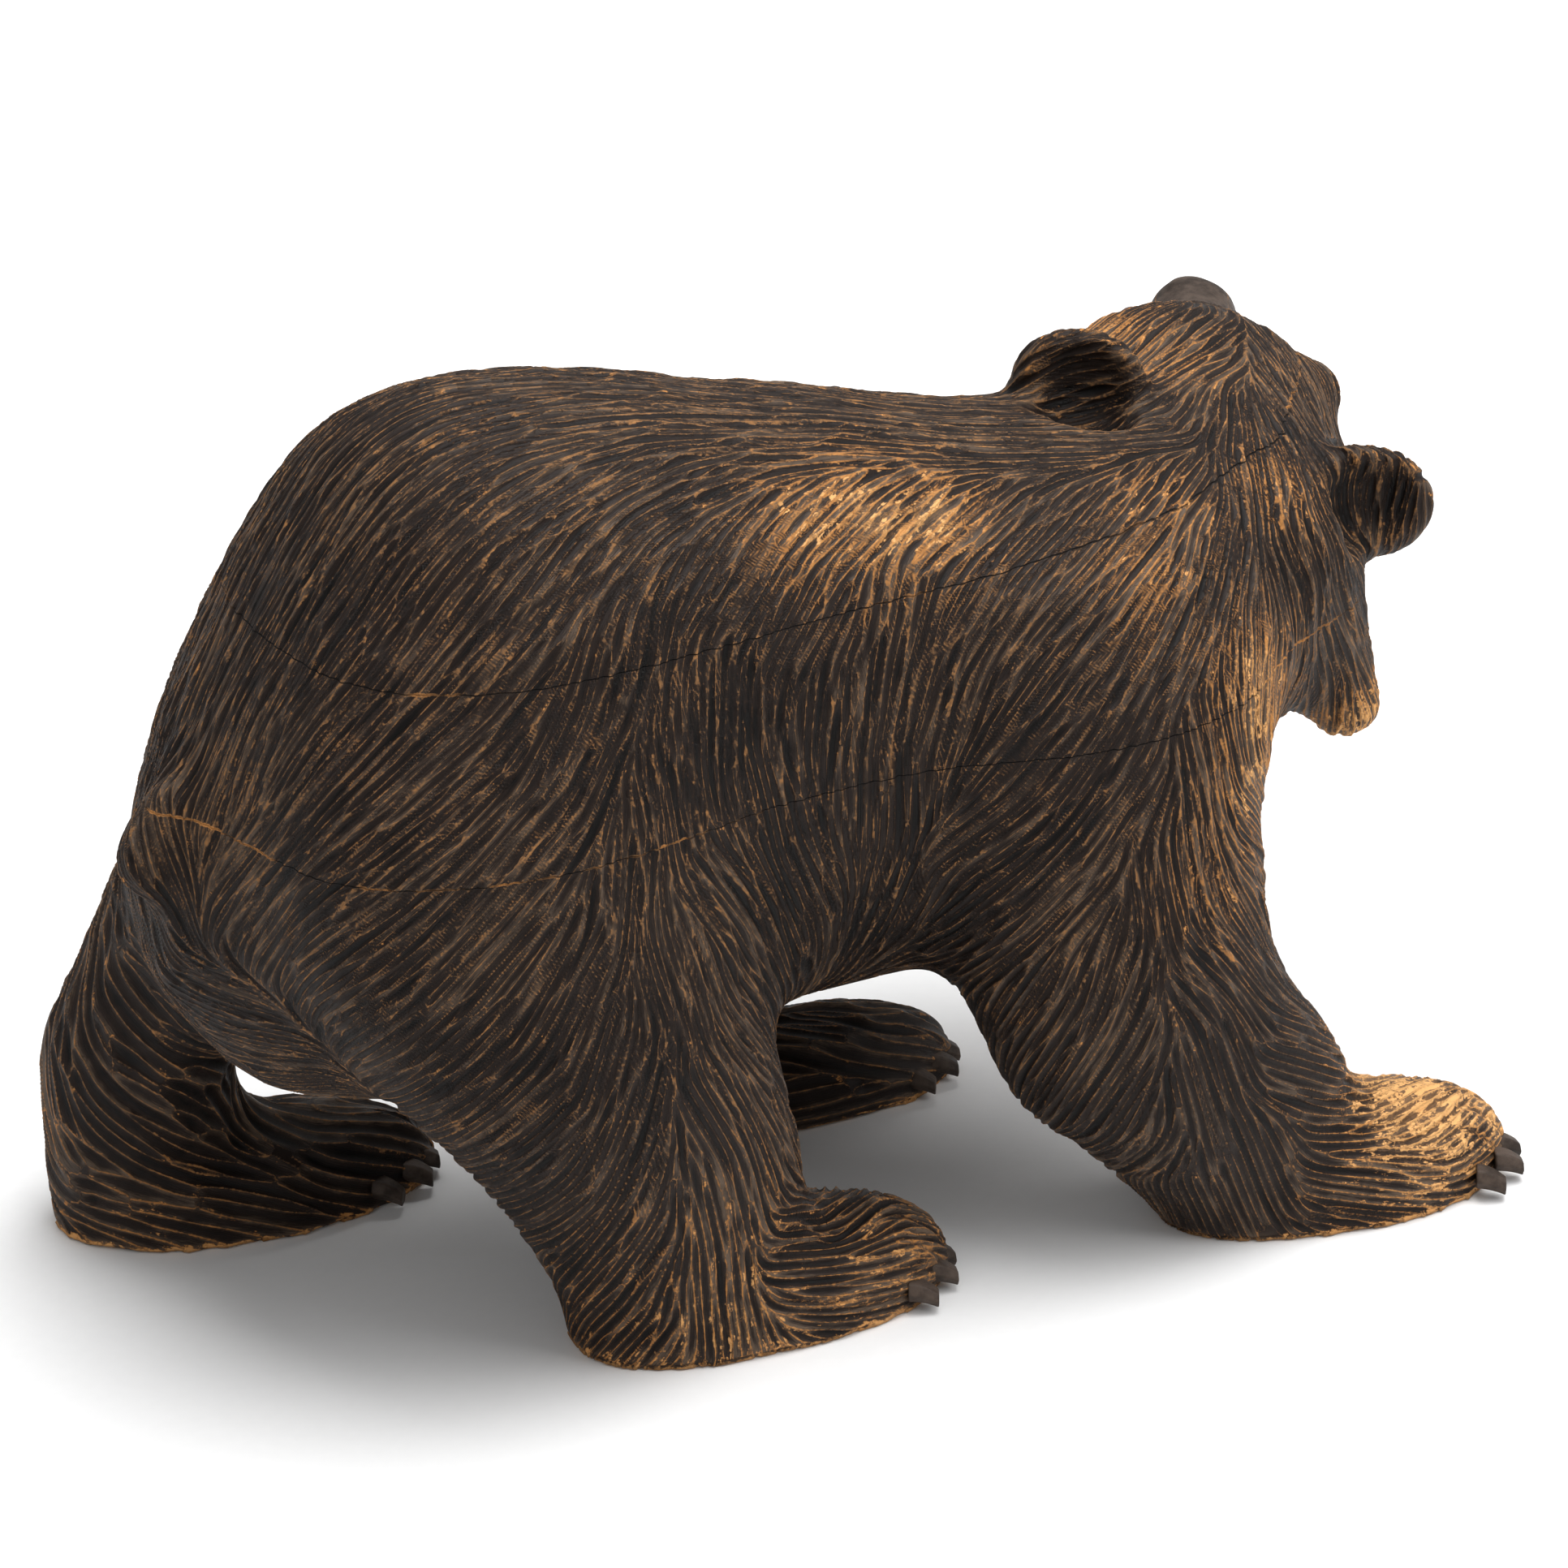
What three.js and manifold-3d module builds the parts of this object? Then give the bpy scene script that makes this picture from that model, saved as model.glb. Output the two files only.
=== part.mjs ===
// Carved wooden bear, walking on all fours with its head raised and turned to its left.
// Three boards are glued face to face on hidden dowels and carved as one figure; the legs and the belly are
// one board, the flanks, neck and jaw the next, the back and the crown of the head the last. Two glass eyes
// on short stems are let into the face.
// Millimetres. +X is the way the bear walks, +Y its left, +Z up. The soles stand on z = 0.
import * as THREE from "three";
import { mergeVertices } from "three/addons/utils/BufferGeometryUtils.js";
import Module from "manifold-3d";

const wasm = await Module();
wasm.setup();

// ---------- driving dimensions ----------
const lowerSeam = 115; // height of the glue line between the lower and the middle board
const upperSeam = 149; // height of the glue line between the middle and the upper board
const fitGap = 0.3; // clearance between faces that are glued or fitted together

const dowel = { radius: 4, length: 26, chamfer: 0.8, sides: 24 };
const dowelHoleRadius = dowel.radius + fitGap;
const lowerDowels = [[-62, 0], [44, 0]]; // x and y of each dowel through the lower seam
const upperDowels = [[-66, 0], [4, 0]]; // the same for the upper seam

const eyeRadius = 3.4; // radius of the glass ball
const eyeStem = { radius: 1.4, length: 7 }; // wire stem behind the ball, cast in one with it
const eyeSink = 1.4; // how far the ball's centre sits below the surface of the face
const eyeSides = 14;

// Where the head sits: a point midway between the ears, then its turn to the left, lift and tilt in degrees.
const headPlace = new THREE.Vector3(107, 6, 142);
const headYaw = 61;
const headPitch = 15;
const headRoll = 24;

// Spacing of the sample grid that the carved surface is drawn on.
const grid = { body: 8, head: 5.4, rise: 6.8, headFromX: 62 };
const room = { x: [-165, 165], y: [-105, 110], z: [-21, 222] }; // the seams fall on lines of the grid
const depthBelowSoles = 8; // how far the legs run on below the floor before the soles are cut flat

// ---------- soft shapes: each gives a distance that is negative inside ----------

// An ellipsoid.
function egg(centre, radii) {
  return (x, y, z) => {
    const [u, v, w] = [x - centre[0], y - centre[1], z - centre[2]];
    const k0 = Math.hypot(u / radii[0], v / radii[1], w / radii[2]);
    const k1 = Math.hypot(u / radii[0] ** 2, v / radii[1] ** 2, w / radii[2] ** 2);
    return k1 < 1e-9 ? -Math.min(...radii) : (k0 * (k0 - 1)) / k1;
  };
}

// A round bar whose radius runs from one end's to the other's.
function bar(start, startRadius, end, endRadius) {
  const from = new THREE.Vector3(...start);
  const along = new THREE.Vector3(...end).sub(from);
  const p = new THREE.Vector3();
  return (x, y, z) => {
    p.set(x, y, z).sub(from);
    const t = THREE.MathUtils.clamp(p.dot(along) / along.lengthSq(), 0, 1);
    return p.addScaledVector(along, -t).length() - THREE.MathUtils.lerp(startRadius, endRadius, t);
  };
}

// A smooth run through rows of numbers, the first of each row being where along the run it stands.
function smoothRun(rows) {
  const places = rows.map((row) => row[0]);
  const run = new THREE.CubicInterpolant(places, rows.flatMap((row) => row.slice(1)), rows[0].length - 1);
  return (t) => run.evaluate(THREE.MathUtils.clamp(t, places[0], places.at(-1)));
}

// A leg of oval section. Each row is height, centre x, centre y, half length and half width.
function leg(rows) {
  const section = smoothRun(rows);
  const top = rows.at(-1)[0];
  return (x, y, z) => {
    const [cx, cy, a, b] = section(z);
    const side = (Math.hypot((x - cx) / a, (y - cy) / b) - 1) * Math.min(a, b);
    return Math.max(side, z - top);
  };
}

// The trunk. Each row is x, centre y, top, bottom and half width; the section is a little squarer than an oval.
const trunkSquareness = 2.25;
function trunk(rows) {
  const section = smoothRun(rows);
  const [back, front] = [rows[0][0], rows.at(-1)[0]];
  return (x, y, z) => {
    const [cy, top, bottom, halfWidth] = section(x);
    const halfHeight = (top - bottom) / 2;
    const across = Math.abs((y - cy) / halfWidth) ** trunkSquareness;
    const upright = Math.abs((z - (top + bottom) / 2) / halfHeight) ** trunkSquareness;
    const side = ((across + upright) ** (1 / trunkSquareness) - 1) * Math.min(halfWidth, halfHeight);
    return Math.max(side, back - x, x - front);
  };
}

// Joins two distances with a soft fillet.
function blended(a, b, softness) {
  const h = Math.max(softness - Math.abs(a - b), 0) / softness;
  return Math.min(a, b) - (h * h * softness) / 4;
}

// ---------- the figure: rows of [shape, softness of its join to the rows before] ----------
const body = [
  [
    trunk([
      [-134, 6, 106, 78, 10],
      [-128, 6, 117, 66, 24],
      [-118, 5, 138, 54, 37],
      [-104, 4, 162, 48, 46],
      [-90, 3, 180, 46, 51],
      [-74, 2, 188, 46, 55],
      [-53, 2, 188, 46, 56],
      [-30, 2, 184, 46, 55],
      [-8, 2, 178, 49, 54],
      [12, 2, 173, 50, 54],
      [32, 2, 167, 51, 55],
      [52, 2, 161, 53, 55],
      [72, 2, 156, 59, 52],
      [90, 3, 150, 72, 44],
      [104, 4, 142, 86, 32],
    ]),
    1,
  ],
  [bar([56, 0, 112], 42, [96, 4, 120], 33), 18], // neck
  [bar([112, -6, 122], 19, [127, -14, 89], 8), 12], // ruff under the right cheek
  [bar([100, 24, 120], 20, [112, 44, 98], 9), 12], // ruff under the left cheek
  [bar([-128, 2, 112], 8, [-136, 1, 104], 6), 8], // tail
];
const hindRight = leg([
  [-8, -39, -46, 27, 19],
  [12, -42, -46, 27, 20],
  [40, -51, -46, 33, 23],
  [67, -64, -44, 40, 26],
  [95, -72, -38, 45, 27],
  [125, -74, -33, 40, 24],
  [150, -70, -26, 26, 15],
]);
const hindLeft = leg([
  [-8, -117, 44, 26, 18],
  [18, -123, 46, 22, 19],
  [40, -124, 45, 20, 21],
  [60, -112, 42, 24, 24],
  [90, -90, 37, 34, 26],
  [120, -72, 34, 34, 22],
  [146, -64, 26, 24, 14],
]);
const foreRight = leg([
  [-8, 92, -55, 21, 17],
  [10, 84, -56, 28, 18],
  [24, 75, -56, 32, 20],
  [36, 66, -56, 36, 21],
  [60, 54, -52, 34, 24],
  [85, 50, -44, 38, 26],
  [115, 52, -36, 36, 24],
  [140, 50, -28, 26, 16],
]);
const foreLeft = leg([
  [-8, -14, 38, 18, 17],
  [15, -18, 40, 17, 18],
  [38, -10, 42, 22, 20],
  [62, 16, 42, 31, 23],
  [88, 38, 40, 36, 25],
  [115, 50, 34, 34, 22],
  [140, 50, 26, 24, 14],
]);
body.push([hindRight, 14], [hindLeft, 14], [foreRight, 14], [foreLeft, 14]);
body.push([egg([-18, -48, 4], [34, 20, 17]), 8]);
body.push([egg([-98, 40, 3], [36, 20, 16]), 8]);
body.push([egg([112, -59, 4], [34, 20, 17]), 8]);
body.push([egg([21, 29, 3], [35, 18, 16]), 8]);

// The head in its own directions: ahead, to its right, up, from the point midway between the ears.
const head = [
  [egg([14, 0, -17], [38, 32, 28]), 1], // skull
  [egg([32, 0, -8], [18, 24, 13]), 10], // brow
  [egg([21, 24, -26], [24, 16, 20]), 10], // right cheek
  [egg([21, -24, -26], [24, 16, 20]), 10], // left cheek
  [bar([44, 0, -18], 15, [66, 0, -18], 10), 9], // muzzle
  [bar([36, 0, -34], 14, [56, 0, -30], 9), 8], // lower jaw
  [egg([38, 22, -3], [8, 8, 5]), 5], // right brow ridge
  [egg([38, -22, -3], [8, 8, 5]), 5], // left brow ridge
];
// The ears stand up behind, outside the soft join of head and neck, each with a hollow in its back.
const ears = [
  [egg([-1, 32, 2], [8, 15, 14]), 4],
  [egg([-1, -35, 4], [8, 15, 14]), 4],
];
const earHollows = [egg([-10, 33, 8], [7, 10, 9]), egg([-10, -36, 10], [7, 10, 9])];
const eyePlaces = { eye_right: [45, 15, -12], eye_left: [45, -15, -12] };

// The head's own directions as a matrix.
function headMatrix() {
  const [yaw, pitch, roll] = [headYaw, headPitch, headRoll].map(THREE.MathUtils.degToRad);
  const level = new THREE.Vector3(Math.cos(yaw), Math.sin(yaw), 0);
  const ahead = level.clone().multiplyScalar(Math.cos(pitch)).setZ(Math.sin(pitch));
  const right = new THREE.Vector3(Math.sin(yaw), -Math.cos(yaw), 0).applyAxisAngle(ahead, roll);
  const up = new THREE.Vector3().crossVectors(right, ahead);
  return new THREE.Matrix4().makeBasis(ahead, right, up).setPosition(headPlace);
}
const toHead = headMatrix().invert();
const inHead = new THREE.Vector3();

function joined(shapes, x, y, z) {
  return shapes.reduce((d, [shape, softness]) => blended(d, shape(x, y, z), softness), 1e3);
}

// Distance to the whole figure; the neck runs into the head with this softness, and the hollows of the ears
// are cut last, with a softness of their own.
const neckSoftness = 12;
const hollowSoftness = 3;
function figure(x, y, z) {
  inHead.set(x, y, z).applyMatrix4(toHead);
  const place = [inHead.x, inHead.y, inHead.z];
  let whole = blended(joined(body, x, y, z), joined(head, ...place), neckSoftness);
  for (const [shape, softness] of ears) whole = blended(whole, shape(...place), softness);
  for (const hollow of earHollows) whole = -blended(-whole, hollow(...place), hollowSoftness);
  return Math.max(whole, -depthBelowSoles - z);
}

// ---------- the surface: one corner in each grid cell that the figure's skin crosses ----------

// Grid lines from low to high, closer together past a given place.
function gridLines([low, high], spacing, closerFrom = high, closer = spacing) {
  const lines = [low];
  while (lines.at(-1) < high) lines.push(lines.at(-1) + (lines.at(-1) < closerFrom ? spacing : closer));
  return lines;
}

function skin(distance) {
  const axes = [
    gridLines(room.x, grid.body, grid.headFromX, grid.head),
    gridLines(room.y, grid.body),
    gridLines(room.z, grid.rise),
  ];
  const [nx, ny, nz] = axes.map((lines) => lines.length);
  const at = (i, j, k) => i + nx * (j + ny * k);
  const samples = new Float64Array(nx * ny * nz);
  const cornerOf = new Int32Array(nx * ny * nz).fill(-1);
  for (let n = 0; n < samples.length; n++) {
    const [i, j, k] = [n % nx, Math.floor(n / nx) % ny, Math.floor(n / (nx * ny))];
    samples[n] = distance(axes[0][i], axes[1][j], axes[2][k]);
  }
  const offsets = [0, 1, 2, 3, 4, 5, 6, 7].map((c) => [c & 1, (c >> 1) & 1, (c >> 2) & 1]);
  const edges = offsets.flatMap((_, a) => [1, 2, 4].filter((bit) => !(a & bit)).map((bit) => [a, a | bit]));
  const positions = [];
  // the corner is the mean of the points where the skin crosses the cell's edges
  const addCorner = (cell) => {
    const values = offsets.map((o) => samples[at(cell[0] + o[0], cell[1] + o[1], cell[2] + o[2])]);
    const crossed = edges.filter(([a, b]) => values[a] < 0 !== values[b] < 0);
    if (!crossed.length) return;
    const mean = [0, 0, 0];
    for (const [a, b] of crossed) {
      const t = values[a] / (values[a] - values[b]);
      for (let n = 0; n < 3; n++) {
        const from = axes[n][cell[n] + offsets[a][n]];
        const to = axes[n][cell[n] + offsets[b][n]];
        mean[n] += THREE.MathUtils.lerp(from, to, t) / crossed.length;
      }
    }
    cornerOf[at(...cell)] = positions.length / 3;
    positions.push(...mean);
  };
  for (let k = 0; k < nz - 1; k++)
    for (let j = 0; j < ny - 1; j++) for (let i = 0; i < nx - 1; i++) addCorner([i, j, k]);
  // each grid edge that the skin crosses makes a four-sided face from the four cells around it
  const steps = [
    [1, 0, 0],
    [0, 1, 0],
    [0, 0, 1],
  ];
  const index = [];
  const addFaces = (cell) => {
    const inside = samples[at(...cell)] < 0;
    steps.forEach((step, n) => {
      if (inside === samples[at(...cell.map((c, m) => c + step[m]))] < 0) return;
      const [one, two] = [steps[(n + 1) % 3], steps[(n + 2) % 3]];
      const around = [[0, 0], [1, 0], [1, 1], [0, 1]];
      const [a, b, c, d] = around.map(([p, r]) => cornerOf[at(...cell.map((v, m) => v - p * one[m] - r * two[m]))]);
      if (inside) index.push(a, b, c, a, c, d);
      else index.push(a, c, b, a, d, c);
    });
  };
  for (let k = 1; k < nz - 1; k++)
    for (let j = 1; j < ny - 1; j++) for (let i = 1; i < nx - 1; i++) addFaces([i, j, k]);
  const surface = new THREE.BufferGeometry();
  surface.setAttribute("position", new THREE.Float32BufferAttribute(positions, 3));
  return surface.setIndex(index);
}

// ---------- joining and cutting ----------
function toSolid(geometry) {
  const bare = new THREE.BufferGeometry();
  bare.setAttribute("position", geometry.getAttribute("position"));
  bare.setIndex(geometry.getIndex());
  const merged = mergeVertices(bare, 1e-4);
  const triVerts = new Uint32Array(merged.index.array);
  const vertProperties = new Float32Array(merged.attributes.position.array);
  return new wasm.Manifold(new wasm.Mesh({ numProp: 3, vertProperties, triVerts }));
}

function toMesh(name, solid, material) {
  const { vertProperties, triVerts } = solid.getMesh();
  const geometry = new THREE.BufferGeometry();
  geometry.setAttribute("position", new THREE.BufferAttribute(vertProperties, 3));
  geometry.setIndex(new THREE.BufferAttribute(triVerts, 1));
  geometry.computeVertexNormals();
  const mesh = new THREE.Mesh(geometry, material);
  mesh.name = name;
  return mesh;
}

// The slab of space between two heights, wide enough for the whole figure.
function slab(low, high) {
  const box = new THREE.BoxGeometry(400, 400, high - low);
  return toSolid(box.translate(0, 0, (low + high) / 2));
}

// ---------- the pieces ----------
// A dowel or its hole: an upright rod with chamfered ends, centred on a seam.
function rod([x, y], seam, radius, length) {
  const half = length / 2;
  const edge = dowel.chamfer;
  const outline = [
    [0, -half],
    [radius - edge, -half],
    [radius, edge - half],
    [radius, half - edge],
    [radius - edge, half],
    [0, half],
  ];
  const lathe = new THREE.LatheGeometry(outline.map((p) => new THREE.Vector2(...p)), dowel.sides);
  return toSolid(lathe.rotateX(Math.PI / 2).translate(x, y, seam));
}

// A glass ball with its stem pointing into the head, or the same shape grown by a clearance for its socket.
function eye(place, grow) {
  const outline = [new THREE.Vector2(0, -eyeStem.length - eyeRadius - grow)];
  outline.push(new THREE.Vector2(eyeStem.radius + grow, -eyeStem.length - eyeRadius - grow));
  const steps = 7;
  const neckAngle = Math.asin((eyeStem.radius + grow) / (eyeRadius + grow));
  for (let n = 0; n <= steps; n++) {
    const angle = THREE.MathUtils.lerp(neckAngle, Math.PI, n / steps);
    outline.push(new THREE.Vector2(Math.sin(angle), -Math.cos(angle)).multiplyScalar(eyeRadius + grow));
  }
  outline.at(-1).setX(0);
  const lathe = new THREE.LatheGeometry(outline, eyeSides);
  const outward = eyeDirection(place);
  lathe.applyQuaternion(new THREE.Quaternion().setFromUnitVectors(new THREE.Vector3(0, 1, 0), outward));
  const centre = eyeCentre(place);
  return toSolid(lathe.translate(centre.x, centre.y, centre.z));
}

// Which way an eye looks: outward from the skull, in the figure's directions.
function eyeDirection(place) {
  const [, side] = place;
  const look = new THREE.Vector3(0.72, Math.sign(side) * 0.62, 0.32).normalize();
  return look.transformDirection(headMatrix());
}

// The eye's centre: from its place in the head, moved along its look until it is just under the skin.
function eyeCentre(place) {
  const point = new THREE.Vector3(...place).applyMatrix4(headMatrix());
  const outward = eyeDirection(place);
  for (let n = 0; n < 40; n++) point.addScaledVector(outward, -(figure(point.x, point.y, point.z) + eyeSink) / 2);
  return point;
}

const stainedWood = () => new THREE.MeshStandardMaterial({ color: 0x3a291d, roughness: 0.62 });
const plainWood = () => new THREE.MeshStandardMaterial({ color: 0xc69c6d, roughness: 0.8 });
const glass = () => new THREE.MeshStandardMaterial({ color: 0x2a1408, roughness: 0.08 });

// The figure cut into its boards, each with its dowel holes and eye sockets.
function boards() {
  const whole = toSolid(skin(figure));
  const half = fitGap / 2;
  const holes = [
    ...lowerDowels.map((place) => rod(place, lowerSeam, dowelHoleRadius, dowel.length + 2 * fitGap)),
    ...upperDowels.map((place) => rod(place, upperSeam, dowelHoleRadius, dowel.length + 2 * fitGap)),
    ...Object.values(eyePlaces).map((place) => eye(place, fitGap)),
  ];
  const cut = (low, high) => holes.reduce((board, hole) => board.subtract(hole), whole.intersect(slab(low, high)));
  return {
    lower_board: cut(0, lowerSeam - half),
    middle_board: cut(lowerSeam + half, upperSeam - half),
    upper_board: cut(upperSeam + half, room.z[1]),
  };
}

function figureGroup() {
  const group = new THREE.Group();
  for (const [name, solid] of Object.entries(boards())) group.add(toMesh(name, solid, stainedWood()));
  lowerDowels.forEach((place, n) => {
    const name = ["lower_dowel_rear", "lower_dowel_front"][n];
    group.add(toMesh(name, rod(place, lowerSeam, dowel.radius, dowel.length), plainWood()));
  });
  upperDowels.forEach((place, n) => {
    const name = ["upper_dowel_rear", "upper_dowel_front"][n];
    group.add(toMesh(name, rod(place, upperSeam, dowel.radius, dowel.length), plainWood()));
  });
  for (const [name, place] of Object.entries(eyePlaces)) group.add(toMesh(name, eye(place, 0), glass()));
  return group;
}

// Moves every piece so that the whole stands with the middle of its footprint on the origin.
function standOnOrigin(group) {
  const middle = new THREE.Box3().setFromObject(group).getCenter(new THREE.Vector3());
  for (const piece of group.children) piece.geometry.translate(-middle.x, -middle.y, 0);
  return group;
}

const group = standOnOrigin(figureGroup());
export default group;
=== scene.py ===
import math
import bpy
import bmesh
import numpy as np
from collections import Counter
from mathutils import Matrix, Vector


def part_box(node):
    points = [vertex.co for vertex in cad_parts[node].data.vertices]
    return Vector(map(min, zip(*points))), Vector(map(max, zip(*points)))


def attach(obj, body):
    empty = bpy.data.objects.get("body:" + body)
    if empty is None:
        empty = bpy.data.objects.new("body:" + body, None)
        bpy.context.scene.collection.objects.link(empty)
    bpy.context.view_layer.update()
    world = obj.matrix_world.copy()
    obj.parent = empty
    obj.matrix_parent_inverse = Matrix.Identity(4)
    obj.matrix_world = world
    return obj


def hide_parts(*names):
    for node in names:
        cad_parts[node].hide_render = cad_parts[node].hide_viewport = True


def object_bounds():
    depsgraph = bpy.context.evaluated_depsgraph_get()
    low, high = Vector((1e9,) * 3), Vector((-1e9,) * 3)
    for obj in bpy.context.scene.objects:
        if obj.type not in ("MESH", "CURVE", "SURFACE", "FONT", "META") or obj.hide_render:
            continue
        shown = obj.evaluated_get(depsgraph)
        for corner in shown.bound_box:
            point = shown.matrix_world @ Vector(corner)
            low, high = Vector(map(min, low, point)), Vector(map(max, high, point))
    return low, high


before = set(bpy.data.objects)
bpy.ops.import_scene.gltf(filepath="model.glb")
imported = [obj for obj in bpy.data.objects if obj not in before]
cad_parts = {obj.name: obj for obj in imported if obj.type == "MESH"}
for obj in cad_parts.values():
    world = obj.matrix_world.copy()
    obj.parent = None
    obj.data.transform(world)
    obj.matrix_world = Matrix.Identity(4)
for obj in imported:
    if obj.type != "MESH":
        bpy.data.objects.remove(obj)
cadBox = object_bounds()

# Lengths are worked out in millimetres, in the directions of the frame: +X the way the bear walks, +Y its
# left, +Z up. The carving is drawn about the dowels, so their places give the shift from drawing to frame.
mm = 0.001
form = {
    "frontDowel": (44.0, 0.0),  # place of the lower front dowel in the drawing
    "seams": (115.0, 149.0),  # heights of the two glue lines
    "seamGap": 0.12,
    "squareness": 2.25,  # of the trunk's section, 2 being an oval
    "headPlace": (107.0, 6.0, 142.0),
    "headTurn": (61.0, 15.0, 24.0),  # yaw to the left, lift and tilt, in degrees
    "neckSoftness": 12.0,
    "coarse": 2.05,  # spacing of the first net over the form
    "halvings": 2,  # each one halves the net's spacing
}

dowelLow, dowelHigh = (np.array(corner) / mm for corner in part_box("lower_dowel_front"))
shift = np.append(((dowelLow + dowelHigh) / 2)[:2] - form["frontDowel"], 0.0)
rng = np.random.default_rng(7)


# ---------- distances to soft shapes, negative inside ----------
# An ellipsoid: k0 (k0 - 1) / k1, where k0 is the length of the point over the radii, and k1 over their
# squares.
def egg(p, centre, radii):
    q = p - centre
    k0 = np.linalg.norm(q / radii, axis=1)
    k1 = np.linalg.norm(q / np.square(radii), axis=1)
    return k0 * (k0 - 1) / np.maximum(k1, 1e-9)


# A round bar: the distance to the nearest place on its axis less the radius there.
def bar(p, start, startRadius, end, endRadius):
    start, along = np.array(start, float), np.subtract(end, start)
    t = np.clip((p - start) @ along / (along @ along), 0, 1)
    radius = startRadius + t * (endRadius - startRadius)
    return np.linalg.norm(p - start - t[:, None] * along, axis=1) - radius


# A smooth run through rows: cubic pieces whose slope at a row is that of the line between its neighbours.
def smoothRun(rows, t):
    rows = np.array(rows, float)
    x, y = rows[:, 0], rows[:, 1:]
    slope = np.empty_like(y)
    slope[1:-1] = (y[2:] - y[:-2]) / (x[2:] - x[:-2])[:, None]
    slope[0] = 1.5 * (y[1] - y[0]) / (x[1] - x[0]) - slope[1] / 2
    slope[-1] = 1.5 * (y[-1] - y[-2]) / (x[-1] - x[-2]) - slope[-2] / 2
    t = np.clip(t, x[0], x[-1])
    i = np.clip(np.searchsorted(x, t, side="right") - 1, 0, len(x) - 2)
    gap = (x[i + 1] - x[i])[:, None]
    u = (t - x[i])[:, None] / gap
    ends = (2 * u**3 - 3 * u**2 + 1) * y[i] + (3 * u**2 - 2 * u**3) * y[i + 1]
    return (ends + gap * ((u**3 - 2 * u**2 + u) * slope[i] + (u**3 - u**2) * slope[i + 1])).T


# A leg of oval section, its rows being height, centre x, centre y, half length and half width.
def leg(p, rows):
    cx, cy, a, b = smoothRun(rows, p[:, 2])
    side = (np.hypot((p[:, 0] - cx) / a, (p[:, 1] - cy) / b) - 1) * np.minimum(a, b)
    return np.maximum(side, p[:, 2] - rows[-1][0])


# The trunk, its rows being x, centre y, top, bottom and half width.
def trunk(p, rows):
    cy, top, bottom, halfWidth = smoothRun(rows, p[:, 0])
    halfHeight = (top - bottom) / 2
    n = form["squareness"]
    across = np.abs((p[:, 1] - cy) / halfWidth) ** n
    upright = np.abs((p[:, 2] - (top + bottom) / 2) / halfHeight) ** n
    side = ((across + upright) ** (1 / n) - 1) * np.minimum(halfWidth, halfHeight)
    return np.maximum(side, np.maximum(rows[0][0] - p[:, 0], p[:, 0] - rows[-1][0]))


# Two distances joined with a soft fillet: the lesser, less h h s / 4 with h = 1 - |a - b| / s.
def blended(a, b, softness):
    h = np.maximum(softness - np.abs(a - b), 0) / softness
    return np.minimum(a, b) - h * h * softness / 4


# The same for cutting b away from a.
def hollowed(a, b, softness):
    return -blended(-a, b, softness)


# ---------- the bear's form, rows of shape, its numbers and the softness of its join ----------
legs = {
    "hindRight": [
        [-8, -39, -46, 27, 19],
        [12, -42, -46, 27, 20],
        [40, -51, -46, 33, 23],
        [67, -64, -44, 40, 26],
        [95, -72, -38, 45, 27],
        [125, -74, -33, 40, 24],
        [150, -70, -26, 26, 15],
    ],
    "hindLeft": [
        [-8, -117, 44, 26, 18],
        [18, -123, 46, 22, 19],
        [40, -124, 45, 20, 21],
        [60, -112, 42, 24, 24],
        [90, -90, 37, 34, 26],
        [120, -72, 34, 34, 22],
        [146, -64, 26, 24, 14],
    ],
    "foreRight": [
        [-8, 92, -55, 21, 17],
        [10, 84, -56, 28, 18],
        [24, 75, -56, 32, 20],
        [36, 66, -56, 36, 21],
        [60, 54, -52, 34, 24],
        [85, 50, -44, 38, 26],
        [115, 52, -36, 36, 24],
        [140, 50, -28, 26, 16],
    ],
    "foreLeft": [
        [-8, -14, 38, 18, 17],
        [15, -18, 40, 17, 18],
        [38, -10, 42, 22, 20],
        [62, 16, 42, 31, 23],
        [88, 38, 40, 36, 25],
        [115, 50, 34, 34, 22],
        [140, 50, 26, 24, 14],
    ],
}
trunkRows = [
    [-134, 6, 106, 78, 10],
    [-128, 6, 117, 66, 24],
    [-118, 5, 138, 54, 37],
    [-104, 4, 162, 48, 46],
    [-90, 3, 180, 46, 51],
    [-74, 2, 188, 46, 55],
    [-53, 2, 188, 46, 56],
    [-30, 2, 184, 46, 55],
    [-8, 2, 178, 49, 54],
    [12, 2, 173, 50, 54],
    [32, 2, 167, 51, 55],
    [52, 2, 161, 53, 55],
    [72, 2, 156, 59, 52],
    [90, 3, 150, 72, 44],
    [104, 4, 142, 86, 32],
]
paws = [  # centre and radii, in the order of the legs
    ((-18, -48, 4), (34, 20, 17)),
    ((-98, 40, 3), (36, 20, 16)),
    ((110, -59, 4), (33, 20, 17)),
    ((21, 29, 3), (35, 18, 16)),
]
pawTurns = (-4, -14, -8, -8)  # degrees to the left of straight ahead


# The head's own directions, ahead, right and up, as the columns of a matrix.
def headAxes():
    yaw, lift, tilt = np.radians(form["headTurn"])
    ahead = np.array([math.cos(yaw) * math.cos(lift), math.sin(yaw) * math.cos(lift), math.sin(lift)])
    level = np.array([math.sin(yaw), -math.cos(yaw), 0.0])
    right = level * math.cos(tilt) + np.cross(ahead, level) * math.sin(tilt)
    return np.stack([ahead, right, np.cross(right, ahead)], axis=1)


headMatrix = headAxes()


def toHead(p):
    return (p - form["headPlace"]) @ headMatrix


def fromHead(p):
    return np.asarray(p, float) @ headMatrix.T + form["headPlace"]


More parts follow.
